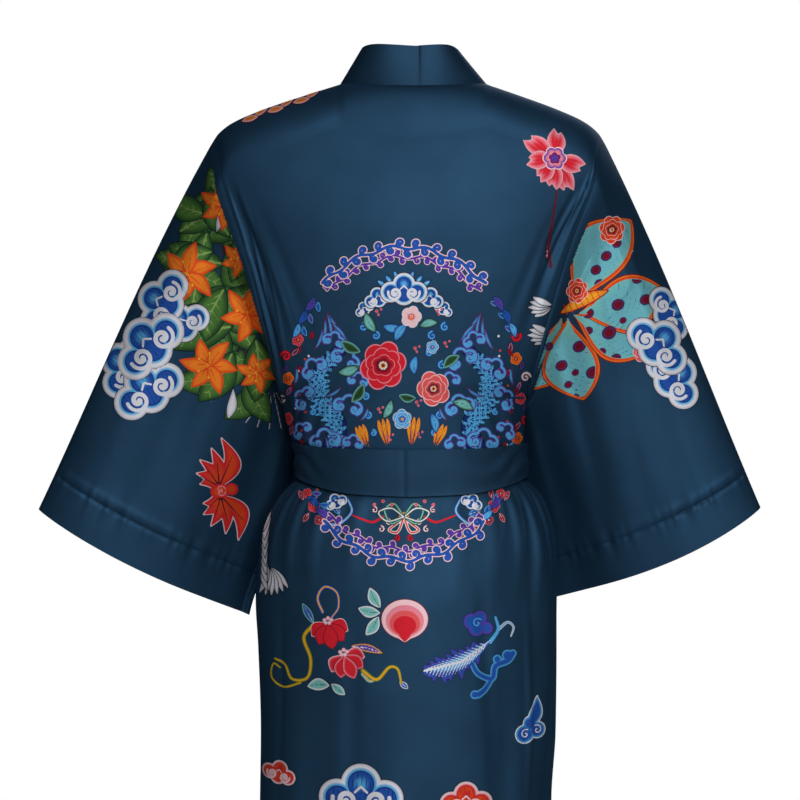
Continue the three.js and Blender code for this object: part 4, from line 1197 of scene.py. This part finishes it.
def back_print():
    """Motifs of the back round the oval: (layers, cell size)."""
    stem = stroke(curve((170, -118), (165, -150), (160, -182), (163, -208)), 0.9, 2.1)
    stem = [ink(stem, "bark", "wine", 1)] + sprig(162, -165, 262, 36, 2.4, "plum", "bark", "rose")
    hip, armhole, ridge = [], [], []
    for k in range(9):
        hip += feather(-160 - 1.3 * k, -478 - 9.6 * k, 248 + 4 * k, 30, 3.6, -2)
    for k in range(6):
        hip += feather(-164, -556, 250 + 13 * k, 34, 3.4, 2)
    for k in range(5):
        for z in (-252, -284):
            armhole += feather(164, z, 158 + 14 * k, 29 - 2 * abs(k - 2), 3.6, 1)
    for k in range(6):
        own = leaf(-196 + 15 * k, -37 + 5.2 * k, 14 + (k % 2) * 26, 20, 4.6, 1)
        ridge += rimmed(own, ("orange", "petal", 3), 1, ("wine",))
    low = bloom(-10, -1010, 34, 6, "coral", "wine", "petal", deg=12)
    for x, z, deg, bow in ((18, -1028, -30, 2), (-38, -1026, 210, -2)):
        low += sprig(x, z, deg, 40, 9, "teal", "white", "forest", bow)
    return [
        (shoulder_flower(), 1.1), (stem, 1.2), (spray(), 1.15), (peach(), 1.15), (blue_plume(), 1.15),
        (flame_cloud(), 1.15), (cloud(-56, -818, 54, "blue", "sky"), 1.2),
        (cloud(64, -824, 34, "flame", "red", "petal"), 1.2),
        (cloud(-152, -796, 23, "flame", "red", "petal", -14), 1.1),
        (hip, 1.15), (armhole, 1.15), (ridge, 1.15), (cloud(96, -960, 46, "blue", "sky", deg=4), 1.6),
        (cloud(-108, -1000, 40, "flame", "red", "petal", 6), 1.6), (low, 1.6),
        (bat(60, -1120, 100, 44, "flame", "red"), 1.6),
    ]


LILIES = (
    (-214, -138, 27, 30), (-256, -216, 34, 75), (-186, -262, 32, 10), (-232, -322, 32, 50),
    (-196, -200, 20, 15), (-178, -330, 22, 40),
)
BUDS = ((-222, -170, 60, 30), (-238, -268, 200, 34), (-166, -214, -60, 32), (-205, -348, -100, 36))
BRANCH_LEAVES = (
    (-206, -176, 112, 62, 15, 5), (-226, -190, 205, 58, 15, -5), (-214, -206, 160, 70, 17, 5),
    (-184, -196, 300, 66, 17, 6), (-214, -232, 250, 66, 18, -5), (-236, -250, 215, 58, 15, 4),
    (-204, -276, 200, 76, 19, -6), (-178, -290, 268, 74, 18, 5), (-204, -306, 235, 70, 17, 5),
    (-186, -330, 290, 62, 15, -5), (-214, -330, 190, 60, 15, 5), (-160, -250, 285, 66, 16, -5),
    (-232, -150, 150, 56, 15, 5), (-226, -138, 95, 44, 11, -4), (-236, -196, 178, 60, 15, 5),
    (-232, -168, 240, 56, 14, 5), (-190, -168, 255, 60, 15, 5), (-214, -290, 150, 52, 14, 4),
    (-176, -344, 225, 56, 14, 5), (-160, -318, 300, 56, 13, 4), (-246, -216, 150, 50, 14, 4),
    (-246, -228, 250, 60, 15, 5), (-226, -262, 285, 62, 16, -5), (-176, -232, 205, 58, 16, 5),
    (-166, -280, 170, 54, 15, -4), (-268, -168, 20, 60, 15, 5), (-262, -196, 75, 52, 14, -4),
    (-232, -128, 245, 66, 15, 5), (-206, -150, 120, 52, 13, 4), (-196, -176, 170, 62, 15, -5),
    (-250, -262, 20, 66, 16, 4), (-222, -296, 100, 62, 15, 5), (-250, -330, 30, 60, 15, 5),
    (-222, -352, 60, 56, 14, -4), (-186, -250, 110, 66, 15, 5), (-176, -306, 140, 60, 15, -5),
    (-166, -352, 110, 56, 14, 4), (-270, -212, -20, 60, 15, 4), (-238, -300, 250, 54, 14, 4),
    (-196, -140, 250, 50, 13, 4), (-216, -128, 210, 44, 12, -4), (-158, -214, 250, 60, 15, 4),
    (-244, -182, 215, 50, 13, 4),
)
SPOTS = (
    (226, -196, 6), (250, -214, 7.5), (272, -246, 6.5), (218, -228, 5.5), (240, -252, 7), (206, -262, 6),
    (262, -280, 6), (230, -284, 8), (196, -300, 7), (212, -330, 7.5), (176, -322, 6.5), (238, -314, 6),
    (168, -352, 6.5), (192, -360, 5.5), (262, -222, 6), (238, -182, 5), (214, -212, 6), (224, -172, 4.5),
    (284, -264, 5), (246, -270, 4), (206, -282, 5), (222, -306, 4.5), (192, -330, 4), (160, -300, 5),
    (184, -344, 4.5),
)
WINGS = (
    (188, -250, 55, 118, 34, 10), (196, -262, 18, 100, 33, -8), (190, -264, -30, 92, 32, 6),
    (182, -268, -78, 96, 33, -8), (174, -268, -112, 88, 26, 8),
)


def cloud_bank(*places):
    """Rimmed blue clouds, the first on top."""
    out = []
    for x, z, size, deg in places:
        out += cloud(x, z, size, "blue", "sky", "white", deg, 0.1)
    return out


def left_sleeve_print():
    """Motifs of the left sleeve's back: a leafy branch with lilies, a cloud bank and a bat."""
    branch = cloud_bank(
        (-300, -300, 50, 44), (-302, -352, 48, 32), (-328, -322, 44, 62), (-284, -250, 44, 64),
        (-262, -276, 36, 30),
    )
    for x, z, r, deg in LILIES:
        branch += lily(x, z, r, deg, "orange", "flame", "flame")
    for x, z, deg, long in BUDS:
        branch += rimmed(leaf(x, z, deg, long, 5.2, 2, 1.3), ("white", "grey", 3), 0.8, ("dark",))
    for x, z, deg, long, wide, bow in BRANCH_LEAVES:
        branch += sprig(x, z, deg, long, wide, "green", "forest", "lime", bow)
    stem = curve((-200, -120), (-214, -170), (-206, -230), (-198, -290), (-176, -350))
    branch += [ink(stroke(stem, 2.4, 4), "bark")]
    for k in range(9):
        spot = about(-172 + 2.5 * k, -352, 206 + 15 * k)
        branch += [ink(stroke([spot(0), spot(44)], 0.55, 0.75), "grey")]
    return [(branch, 1.4), (bat(-222, -468, 8, 56, "flame", "red"), 1.15)]


def right_sleeve_print():
    """Motifs of the right sleeve's back: a dotted butterfly over small flowers, and a cloud bank."""
    fly = cloud_bank((286, -300, 44, -40), (304, -338, 42, -52), (300, -262, 36, -62))
    fly += bloom(232, -166, 17, 7, "flame", "wine", "petal", deg=12)
    fly += bloom(192, -236, 15, 7, "flame", "wine", "petal", deg=30)
    fly += bloom(270, -306, 13, 6, "coral", "wine", "petal")
    spot = about(172, -262, 25)
    rings = joined(*[stroke([spot(8 + 7 * k, -5), spot(8 + 7 * k, 7)], 0.7, 0.7) for k in range(7)])
    body = leaf(172, -262, 25, 62, 6.5, 2)
    fly += [ink(rings, "flame"), *rimmed(body, ("gold", "orange", 4), 1.2, ("wine",))]
    panes = joined(*[grown(leaf(*wing, 1.25), -5) for wing in WINGS])
    for more, colour in ((-0.38, "wine"), (0, "plum"), (0.12, "deep")):
        dots = joined(*[disc(x, z, r * (1 + more), 0.85, 30) for x, z, r in SPOTS])
        fly.append(ink(within(dots, panes), colour))
    flecks = []
    for x, z, deg, long, wide, bow in WINGS:
        for t in np.linspace(0.3, 0.86, 9):
            for b in (-0.5, -0.22, 0.08, 0.36):
                ends = turned(x, z, deg, long * t, wide * b), turned(x, z, deg + 8, long * t + 4.5, wide * b)
                flecks.append(stroke(ends, 0.4, 0.3))
    fly.append(ink(within(joined(*flecks), panes), "blue"))
    for x, z, deg, long, wide, bow in WINGS:
        own = leaf(x, z, deg, long, wide, bow, 1.25)
        tips = [turned(x, z, deg + spread, long * 0.78, 0) for spread in (-14, -5, 5, 14)]
        fly += [ink(joined(*[stroke([(x, z), tip], 0.9, 0.4) for tip in tips]), "teal")]
        fly += [ink(grown(own, -4.5), "aqua", "teal", 9)]
        fly += rimmed(own, ("flame", "orange", 2.5), 1.2, ("wine",))
    return [(fly, 1.4)]


def front_prints(sign):
    """A few of the same motifs on a front, h to the right as the front is looked at."""
    if sign > 0:
        chest = bloom(118, -190, 30, 6, "coral", "wine", "petal", deg=15)
        low = bloom(96, -1060, 30, 6, "red", "wine", "rose", deg=15)
        return [
            (chest + sprig(112, -214, 250, 44, 9, "green", "forest", "lime", 3), 1.6),
            (cloud(110, -620, 44, "blue", "sky", deg=-8), 1.6),
            (cloud(60, -900, 38, "flame", "red", "petal", 5), 1.6),
            (low + sprig(76, -1082, 215, 40, 9, "teal", "white", "forest", 3), 1.6),
        ]
    hip = bloom(-130, -660, 26, 6, "coral", "wine", "petal", deg=15)
    return [
        (cloud(-120, -200, 34, "blue", "sky", deg=12), 1.6),
        (hip + sprig(-122, -682, -70, 36, 8, "teal", "white", "forest", 3), 1.6),
        (bat(-126, -880, 84, 34, "flame", "red"), 1.5),
        (cloud(-126, -1090, 30, "blue", "sky", deg=6), 1.6),
    ]


def split(points, tris, f):
    """Cuts triangles along a field's zero line. Gives the points with the new ones, the field at them, and the
    triangles inside and outside."""
    f = np.where(np.abs(f) < 1e-4, 1e-4, f)
    inner = f[tris] < 0
    count = inner.sum(1)
    keep_in, keep_out = tris[count == 3], tris[count == 0]
    some = (count == 1) | (count == 2)
    cut, inner, count = tris[some], inner[some], count[some]
    if len(cut):
        lone = np.where(count == 1, inner.argmax(1), (~inner).argmax(1))
        a, b, c = np.take_along_axis(cut, (lone[:, None] + np.arange(3)) % 3, 1).T
        ends = np.sort(np.concatenate((np.stack((a, b), 1), np.stack((a, c), 1))), 1)
        base = len(points) + 1
        key, back = np.unique(ends[:, 0] * base + ends[:, 1], return_inverse=True)
        p, q = key // base, key % base
        new = points[p] + (points[q] - points[p]) * (f[p] / (f[p] - f[q]))[:, None]
        ab, ac = np.split(back.ravel() + len(points), 2)
        points, f = np.concatenate((points, new)), np.concatenate((f, np.zeros(len(new))))
        tip = np.stack((a, ab, ac), 1)
        rest = np.concatenate((np.stack((ab, b, c), 1), np.stack((ab, c, ac), 1)))
        one = count == 1
        keep_in = np.concatenate((keep_in, tip[one], rest[np.tile(~one, 2)]))
        keep_out = np.concatenate((keep_out, tip[~one], rest[np.tile(one, 2)]))
    return points, f, keep_in, keep_out


def painted(layers, cell, inks):
    """A motif as triangles: a grid over it is cut by each layer in turn, from the top one down, and what falls
    inside takes the layer's ink."""
    around = np.array([b for _, b, *_ in layers])
    low = (around[:, :2] - around[:, 2:]).min(0) - cell
    high = (around[:, :2] + around[:, 2:]).max(0) + cell
    nx, nz = np.ceil((high - low) / cell).astype(int) + 1
    gx, gz = np.meshgrid(low[0] + cell * np.arange(nx), low[1] + cell * np.arange(nz), indexing="ij")
    points = np.stack((gx.ravel(), gz.ravel()), 1)
    a, b, c, d = quads(nx, nz).T
    even = (a // nz + a % nz) % 2 == 0
    halves = (((a, b, c), even), ((a, c, d), even), ((a, b, d), ~even), ((b, c, d), ~even))
    tris = np.concatenate([np.stack(corners, 1)[own] for corners, own in halves])
    faces, colours, middle = [], [], points[tris].mean(1)
    for field, (x, z, r), colour, edge, depth in layers:
        near = np.abs(middle[:, 0] - x) < r + 2 * cell
        near &= np.abs(middle[:, 1] - z) < r + 2 * cell
        own, far = tris[near], tris[~near]
        if not len(own):
            continue
        f = np.full(len(points), 9.0)
        used = np.unique(own)
        f[used] = field(points[used])
        points, f, inside, outside = split(points, own, f)
        tris = np.concatenate((far, outside))
        middle = np.concatenate((middle[~near], points[outside].mean(1)))
        if len(inside):
            t = smooth(-f[inside] / depth)[..., None]
            faces.append(inside)
            colours.append(mix(np.array(inks[edge]), np.array(inks[colour]), t))
    return points, np.concatenate(faces), np.concatenate(colours)


def settled(surface, start, target, low, high):
    """Where on a surface x and z are the target's: steps by the surface's own slopes, kept in its range. Gives
    the points, their outward normals and how far each misses."""
    q, low, high = start.copy(), np.array(low), np.array(high)
    e, most = (high - low) * 1e-4, 0.2 * (high - low)
    for _ in range(12):
        p = surface(q[:, 0], q[:, 1])
        du = (surface(q[:, 0] + e[0], q[:, 1]) - p) / e[0]
        dv = (surface(q[:, 0], q[:, 1] + e[1]) - p) / e[1]
        miss = target - p[:, [0, 2]]
        det = du[:, 0] * dv[:, 2] - du[:, 2] * dv[:, 0]
        det = np.where(np.abs(det) < 1e-6, 1e-6, det)
        step = np.stack((
            (miss[:, 0] * dv[:, 2] - miss[:, 1] * dv[:, 0]) / det,
            (miss[:, 1] * du[:, 0] - miss[:, 0] * du[:, 2]) / det,
        ), 1)
        q = np.clip(q + np.clip(step, -most, most), low, high)
    return p, unit(np.cross(du, dv)), np.linalg.norm(miss, axis=1)


def used_only(faces, *columns):
    """Faces numbered anew, and the rows of the columns that they use."""
    used, faces = np.unique(faces, return_inverse=True)
    return faces.reshape(-1, 3), *[column[used] for column in columns]


def print_piece(name, motifs, surface, guess, low, high, face, near, out, mat, inks):
    """Lays motifs on a panel as a thin skin just over its cloth. near is how much smaller things are drawn for
    lying nearer the eye."""
    points, faces, colours, flat, count = [], [], [], [], 0
    for layers, cell in motifs:
        p, tris, own = painted(layers, cell, inks)
        tris, p = used_only(tris, p)
        h = -face * p[:, 0]
        target = np.stack((EYE_X + (h - EYE_X) * near, EYE_Z + (p[:, 1] - EYE_Z) * near), 1)
        place, n, miss = settled(surface, guess(target), target, low, high)
        n *= np.sign(n[:, 1:2] * face + 0.5 * np.maximum(n[:, 2:], 0) + 1e-9)
        good = (miss < 0.3)[tris].all(1)
        points.append(place + n * out)
        flat.append(p)
        faces.append(tris[good] + count)
        colours.append(own[good])
        count += len(p)
    points, flat, faces, colours = (np.concatenate(parts) for parts in (points, flat, faces, colours))
    faces, points, flat = used_only(faces, points, flat)
    a, b, c = (points[faces[:, k]] for k in range(3))
    across = np.cross(b - a, c - a)
    wrong = across[:, 1] * face + 0.5 * np.maximum(across[:, 2], 0) < 0
    faces[wrong], colours[wrong] = faces[wrong][:, ::-1], colours[wrong][:, ::-1]
    full = np.linalg.norm(across, axis=1) > 1e-5
    faces, colours = faces[full], colours[full]
    obj = put(name, points, faces.tolist())
    layer = obj.data.color_attributes.new("ink", "FLOAT_COLOR", "CORNER")
    layer.data.foreach_set("color", np.concatenate((colours, np.ones((*colours.shape[:2], 1))), -1).ravel())
    lay_flat(obj, flat / 1000)
    obj.data.materials.append(mat)
    return obj


# Materials


def socket(node, names, value):
    """Sets the first input of these names that the node has."""
    for name in names:
        if name in node.inputs:
            node.inputs[name].default_value = value
            return


def add(tree, kind, inputs=(), **settings):
    """A new node with its settings and its inputs, each a value or the output that it is linked to."""
    node = tree.nodes.new("ShaderNode" + kind)
    for name, value in settings.items():
        setattr(node, name, value)
    for name, value in dict(inputs).items():
        if isinstance(value, bpy.types.NodeSocket):
            tree.links.new(value, node.inputs[name])
        else:
            node.inputs[name].default_value = value
    return node


def satin(name, colour, roughness, gloss, printed=False):
    """Satin: fine threads along the cloth in colour and bump, faint slubs, a soft mottle and a low sheen. The
    gloss is how much of the light the threads throw back in their own colour, which is what makes satin bright
    where it faces the light and dark where it turns away. A printed one takes its colour from the print's
    attribute."""
    mat = bpy.data.materials.new(name)
    mat.use_nodes = True
    tree = mat.node_tree
    shader = tree.nodes["Principled BSDF"]
    socket(shader, ["Roughness"], roughness)
    socket(shader, ["Metallic"], gloss)
    socket(shader, ["Specular IOR Level", "Specular"], 0.15)
    socket(shader, ["Specular Tint"], (0.3, 0.36, 0.45, 1))
    flat = add(tree, "UVMap", uv_map="cloth")
    scale = add(tree, "Mapping", {"Vector": flat.outputs["UV"], "Scale": (2600, 320, 1)})
    thread = add(tree, "TexNoise", {"Vector": scale.outputs["Vector"], "Scale": 1, "Detail": 3})
    place = add(tree, "TexCoord")
    mottle = add(tree, "TexNoise", {"Vector": place.outputs["Object"], "Scale": 16, "Detail": 4})
    names, tones = ("Value", "From Min", "From Max", "To Min", "To Max"), []
    for noise, *ranges in ((mottle, 0.25, 0.75, 0.88, 1.12), (thread, 0.3, 0.7, 0.9, 1.1)):
        tones.append(add(tree, "MapRange", zip(names, (noise.outputs["Fac"], *ranges))))
    both = add(tree, "Math", {k: tone.outputs["Result"] for k, tone in enumerate(tones)}, operation="MULTIPLY")
    if printed:
        base = add(tree, "Attribute", attribute_name="ink").outputs["Color"]
    else:
        base = add(tree, "RGB").outputs[0]
        base.default_value = (*colour, 1)
    dye = add(tree, "VectorMath", {0: base, "Scale": both.outputs[0]}, operation="SCALE")
    tree.links.new(dye.outputs[0], shader.inputs["Base Color"])
    bump = add(tree, "Bump", {"Strength": 0.12, "Distance": 0.0004, "Height": thread.outputs["Fac"]})
    tree.links.new(bump.outputs["Normal"], shader.inputs["Normal"])
    return mat


COLOUR = dict(subtype="COLOR", size=3, min=0, max=1)


class RobeCloth(PropertyGroup):
    """Colours and thickness of the cloth."""

    colour: FloatVectorProperty(
        name="Cloth", description="Colour of the satin", default=(0.0205, 0.062, 0.121), **COLOUR
    )
    band_colour: FloatVectorProperty(
        name="Band", description="Colour of the neckband and the belt", default=(0.0195, 0.056, 0.107), **COLOUR
    )
    roughness: FloatProperty(
        name="Roughness", description="How dull the satin is", default=0.6, min=0, max=1
    )
    gloss: FloatProperty(
        name="Gloss", description="Share of the light that the satin's threads throw back in their own colour",
        default=0.75, min=0, max=1,
    )
    thickness: FloatProperty(
        name="Thickness", description="Thickness of the cloth", default=0.0009, unit="LENGTH"
    )
    band_thickness: FloatProperty(
        name="Band thickness", description="Thickness of the doubled cloth of the band and the belt",
        default=0.0014, unit="LENGTH",
    )


INKS = dict(
    blue=0x2654AA, deep=0x1B2F6E, sky=0x58ACE2, white=0xDEDEE6, petal=0xF0C8CD, rose=0xE8899A,
    red=0xD62634, wine=0x7A1428, coral=0xE45C5C, orange=0xEE8228, flame=0xE04A22, gold=0xF0AA32,
    green=0x4E7A3A, forest=0x2C4E28, lime=0x86A45A, olive=0x969620, teal=0x78BEB9, aqua=0x70B8C4,
    plum=0x602850, violet=0x5A3CA0, grey=0xB4B2BC, bark=0x3A2A30, dark=0x141C2C,
)


def linear(colour):
    """A screen colour such as 0x2654AA as linear values."""
    parts = [(colour >> k & 255) / 255 for k in (16, 8, 0)]
    return tuple(c / 12.92 if c <= 0.04045 else ((c + 0.055) / 1.055) ** 2.4 for c in parts)


class RobePrint(PropertyGroup):
    """The print's inks and how far its skin stands over the cloth."""

    __annotations__ = {
        name: FloatVectorProperty(
            name=name.title(), description=f"The print's {name} ink", default=linear(colour), **COLOUR
        )
        for name, colour in INKS.items()
    }
    __annotations__["lift"] = FloatProperty(
        name="Lift", description="How far the print's skin stands over the cloth", default=0.0003, unit="LENGTH"
    )


class RobeStage(PropertyGroup):
    """The light and the floor."""

    key_power: FloatProperty(
        name="Key light", description="Power of the large light on the back's side", default=71, unit="POWER"
    )
    top_power: FloatProperty(
        name="Top light", description="Power of the light over the shoulders", default=19, unit="POWER"
    )
    fill_power: FloatProperty(
        name="Fill light", description="Power of the light on the front's side", default=26, unit="POWER"
    )
    surround: FloatProperty(name="Surround", description="Light from all round", default=0.05, min=0)
    floor_colour: FloatVectorProperty(
        name="Floor", description="Colour of the floor", default=(0.8, 0.8, 0.8), **COLOUR
    )


def finish_piece(obj, node, context, band=False):
    """Gives a piece its satin, made once, and lets it stand for its solid."""
    own = context.scene.robe_cloth
    name, colour = ("band_satin", own.band_colour) if band else ("satin", own.colour)
    mat = bpy.data.materials.get(name) or satin(name, tuple(colour), own.roughness, own.gloss)
    obj.data.materials.append(mat)
    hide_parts(node)
    return obj


def print_on(context, name, motifs, surface, guess, low, high, face=1, near=0.975):
    """A panel's print with the scene's inks."""
    cloth, own = context.scene.robe_cloth, context.scene.robe_print
    inks = {ink_name: tuple(getattr(own, ink_name)) for ink_name in INKS}
    out = (cloth.thickness / 2 + own.lift) * 1000
    mat = bpy.data.materials.get("print") or satin("print", None, cloth.roughness, cloth.gloss * 0.55, True)
    return print_piece(name, motifs, surface, guess, low, high, face, near, out, mat, inks)


def body_guess(target):
    """First guess of angle and v on the body from x and z."""
    x, z = target.T
    low, high = 2 + (FIRST_LEVEL - z) / LEVEL_STEP, np.interp(z, (FIRST_LEVEL, -20), (2, 0.6))
    return np.stack((angle_at(x, z, 0.98), np.where(z < FIRST_LEVEL, low, high)), 1)


def body_panel(context, side, grid, sides):
    """A body panel. At the shoulder, and down its sides below the armhole, its normals lie in the seam's plane,
    so that its ends stay parallel with its neighbour's."""
    n = normals(grid)
    out = np.abs(grid[0, :, 0] - NECK_X) >= NECK_HALF - 1
    n[0, out, 1] = 0
    n[0] = unit(n[0])
    low = body_rows() >= ARM_V - 1e-6
    for j, way in sides:
        z = n[low, j, 2]
        n[low, j] = unit(stack(way + 0 * z, 0 * z, z))
    thick = context.scene.robe_cloth.thickness * 1000
    obj = shell(f"robe_{side}", carried_on(grid, "top", "first", "last"), thick, own=n)
    return finish_piece(obj, side, context)


class ROBE_OT_back(Operator):
    """The back panel"""

    bl_idname = "robe.back"
    bl_label = "Back"

    def execute(self, context):
        obj = body_panel(context, "back", back_grid(), ((0, 1), (-1, -1)))
        skins = [
            print_on(context, name, motifs, back_point, body_guess, (-89.5, 0.1), (89.5, LAST_V - 0.02))
            for name, motifs in (("print_back", back_print()), ("print_medallion", [(medallion(), 1.3)]))
        ]
        return {"FINISHED"}


class ROBE_OT_fronts(Operator):
    """The two front panels"""

    bl_idname = "robe.fronts"
    bl_label = "Fronts"

    def execute(self, context):
        for side, sign in SIDES:
            obj = body_panel(context, f"front_{side}", front_grid(sign), ((-1, 1),))

            def surface(across, v, sign=sign):
                return front_point(sign, across, v)

            def guess(target, sign=sign):
                deg, v = body_guess(target).T
                seam = angle_at(edge_x(sign, target[:, 1]), target[:, 1])
                return np.stack((np.clip((deg - seam) / (90 * sign - seam), 0.02, 0.98), v), 1)

            ends = (0.005, 0.3), (0.995, LAST_V - 0.02)
            skin = print_on(context, f"print_front_{side}", front_prints(sign), surface, guess, *ends, face=-1)
        return {"FINISHED"}


class ROBE_OT_sleeves(Operator):
    """The two wide sleeves with their sewn cuff hems"""

    bl_idname = "robe.sleeves"
    bl_label = "Sleeves"

    def execute(self, context):
        thick = context.scene.robe_cloth.thickness * 1000
        for side, sign in SIDES:
            obj = shell(f"robe_sleeve_{side}", sleeve_grid(sign), thick, ring=True)
            finish_piece(obj, f"sleeve_{side}", context)

            def surface(t, s, sign=sign):
                return sleeve_point(sign, t, s, 1)

            def guess(target):
                return np.full_like(target, 0.5)

            motifs = left_sleeve_print() if sign > 0 else right_sleeve_print()
            ends = (0.036, 0.004), (0.999, 0.996)
            skin = print_on(context, f"print_sleeve_{side}", motifs, surface, guess, *ends, near=0.9875)
        return {"FINISHED"}


class ROBE_OT_neckband(Operator):
    """The two halves of the neckband"""

    bl_idname = "robe.neckband"
    bl_label = "Neckband"

    def execute(self, context):
        thick = context.scene.robe_cloth.band_thickness * 1000
        for side, sign in SIDES:
            grid = carried_on(band_grid(sign), "first")
            grid[0] += unit(grid[1] - grid[0]) * 0.03
            obj = shell(f"robe_collar_{side}", grid, thick)
            finish_piece(obj, f"collar_{side}", context, band=True)
        return {"FINISHED"}


class ROBE_OT_belt(Operator):
    """The belt, its knot and its two hanging ends"""

    bl_idname = "robe.belt"
    bl_label = "Belt"

    def execute(self, context):
        thick = context.scene.robe_cloth.band_thickness * 1000
        for side, sign in SIDES:
            obj = shell(f"robe_belt_{side}", carried_on(belt_grid(sign), "top"), thick)
            finish_piece(obj, f"belt_{side}", context, band=True)
            end = shell(f"robe_belt_end_{side}", belt_end_grid(sign), thick)
            finish_piece(end, f"belt_end_{side}", context, band=True)
        grid = knot_grid()
        rows, columns = grid.shape[:2]
        points = np.concatenate((grid.reshape(-1, 3), grid[:1].mean(1), grid[-1:].mean(1)))
        j = np.arange(columns)
        k, z, last = (j + 1) % columns, (rows - 1) * columns, np.full(columns, rows * columns)
        faces = [quads(rows, columns, True), np.stack((j, k, last), -1), np.stack((z + k, z + j, last + 1), -1)]
        knot = put("robe_belt_knot", points, [face for part in faces for face in part.tolist()])
        lay_flat(knot, points[:, [0, 2]] / 1000)
        finish_piece(knot, "belt_knot", context, band=True)
        return {"FINISHED"}


class ROBE_OT_stage(Operator):
    """The camera, the lights, the surround and the floor"""

    bl_idname = "robe.stage"
    bl_label = "Stage"

    def execute(self, context):
        scene, own = context.scene, context.scene.robe_stage
        data = bpy.data.cameras.new("camera")
        data.sensor_width, data.lens, data.clip_end = 36, 156.5, 60
        camera = bpy.data.objects.new("camera", data)
        camera.location = (EYE_X / 1000, 4.0, EYE_Z / 1000)
        camera.rotation_euler = (math.pi / 2, 0, math.pi)
        scene.collection.objects.link(camera)
        scene.camera = camera
        for name, place, aim, size, power in (
            ("key", (-0.6, 3.4, 0.75), (0, 0, -0.38), 1.8, own.key_power),
            ("top", (-0.2, 1.7, 2.3), (0, 0, -0.1), 1.6, own.top_power),
            ("fill", (-0.9, -3.0, 1.0), (0, 0, -0.5), 2.0, own.fill_power),
        ):
            lamp = bpy.data.lights.new(name, "AREA")
            lamp.shape, lamp.size, lamp.energy = "DISK", size, power
            obj = bpy.data.objects.new(name, lamp)
            obj.location = place
            x, y, z = np.array(aim) - np.array(place)
            obj.rotation_euler = (math.atan2(math.hypot(x, y), -z), 0, math.atan2(y, x) - math.pi / 2)
            scene.collection.objects.link(obj)
        world = bpy.data.worlds.new("surround")
        scene.world = world
        world.use_nodes = True
        tree = world.node_tree
        tree.nodes.clear()
        out, choose, path = (add(tree, kind) for kind in ("OutputWorld", "MixShader", "LightPath"))
        tree.links.new(path.outputs["Is Camera Ray"], choose.inputs[0])
        for k, strength in ((1, own.surround), (2, 1.0)):
            shade = add(tree, "Background", {"Color": (1, 1, 1, 1), "Strength": strength})
            tree.links.new(shade.outputs[0], choose.inputs[k])
        tree.links.new(choose.outputs[0], out.inputs["Surface"])
        scene.view_settings.view_transform = "Standard"
        a = np.linspace(0, 2 * np.pi, 97)[:-1]
        ring = np.stack((3 * np.cos(a), 3 * np.sin(a), np.full(96, -1.25)), -1)
        mesh = bpy.data.meshes.new("floor")
        mesh.from_pydata(ring.tolist(), [], [list(range(96))])
        floor = bpy.data.objects.new("floor", mesh)
        scene.collection.objects.link(floor)
        mat = bpy.data.materials.new("floor")
        mat.use_nodes = True
        shader = mat.node_tree.nodes["Principled BSDF"]
        socket(shader, ["Base Color"], (*own.floor_colour, 1))
        socket(shader, ["Roughness"], 0.8)
        mesh.materials.append(mat)
        return {"FINISHED"}


OPERATORS = (ROBE_OT_back, ROBE_OT_fronts, ROBE_OT_sleeves, ROBE_OT_neckband, ROBE_OT_belt, ROBE_OT_stage)


class ROBE_PT_panel(Panel):
    """Lists the robe's pieces"""

    bl_idname = "ROBE_PT_panel"
    bl_label = "Kimono robe"
    bl_space_type = "VIEW_3D"
    bl_region_type = "UI"
    bl_category = "Robe"

    def draw(self, context):
        for group in (context.scene.robe_cloth, context.scene.robe_print, context.scene.robe_stage):
            for name in group.__annotations__:
                self.layout.prop(group, name)
        for operator in OPERATORS:
            self.layout.operator(operator.bl_idname)


CLASSES = (RobeCloth, RobePrint, RobeStage, *OPERATORS, ROBE_PT_panel)


def register():
    for cls in CLASSES:
        bpy.utils.register_class(cls)
    bpy.types.Scene.robe_cloth = PointerProperty(type=RobeCloth)
    bpy.types.Scene.robe_print = PointerProperty(type=RobePrint)
    bpy.types.Scene.robe_stage = PointerProperty(type=RobeStage)


def unregister():
    del bpy.types.Scene.robe_stage
    del bpy.types.Scene.robe_print
    del bpy.types.Scene.robe_cloth
    for cls in reversed(CLASSES):
        bpy.utils.unregister_class(cls)


def main():
    register()
    bpy.ops.robe.back()
    bpy.ops.robe.fronts()
    bpy.ops.robe.sleeves()
    bpy.ops.robe.neckband()
    bpy.ops.robe.belt()
    bpy.ops.robe.stage()
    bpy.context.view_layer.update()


if __name__ == "__main__":
    main()
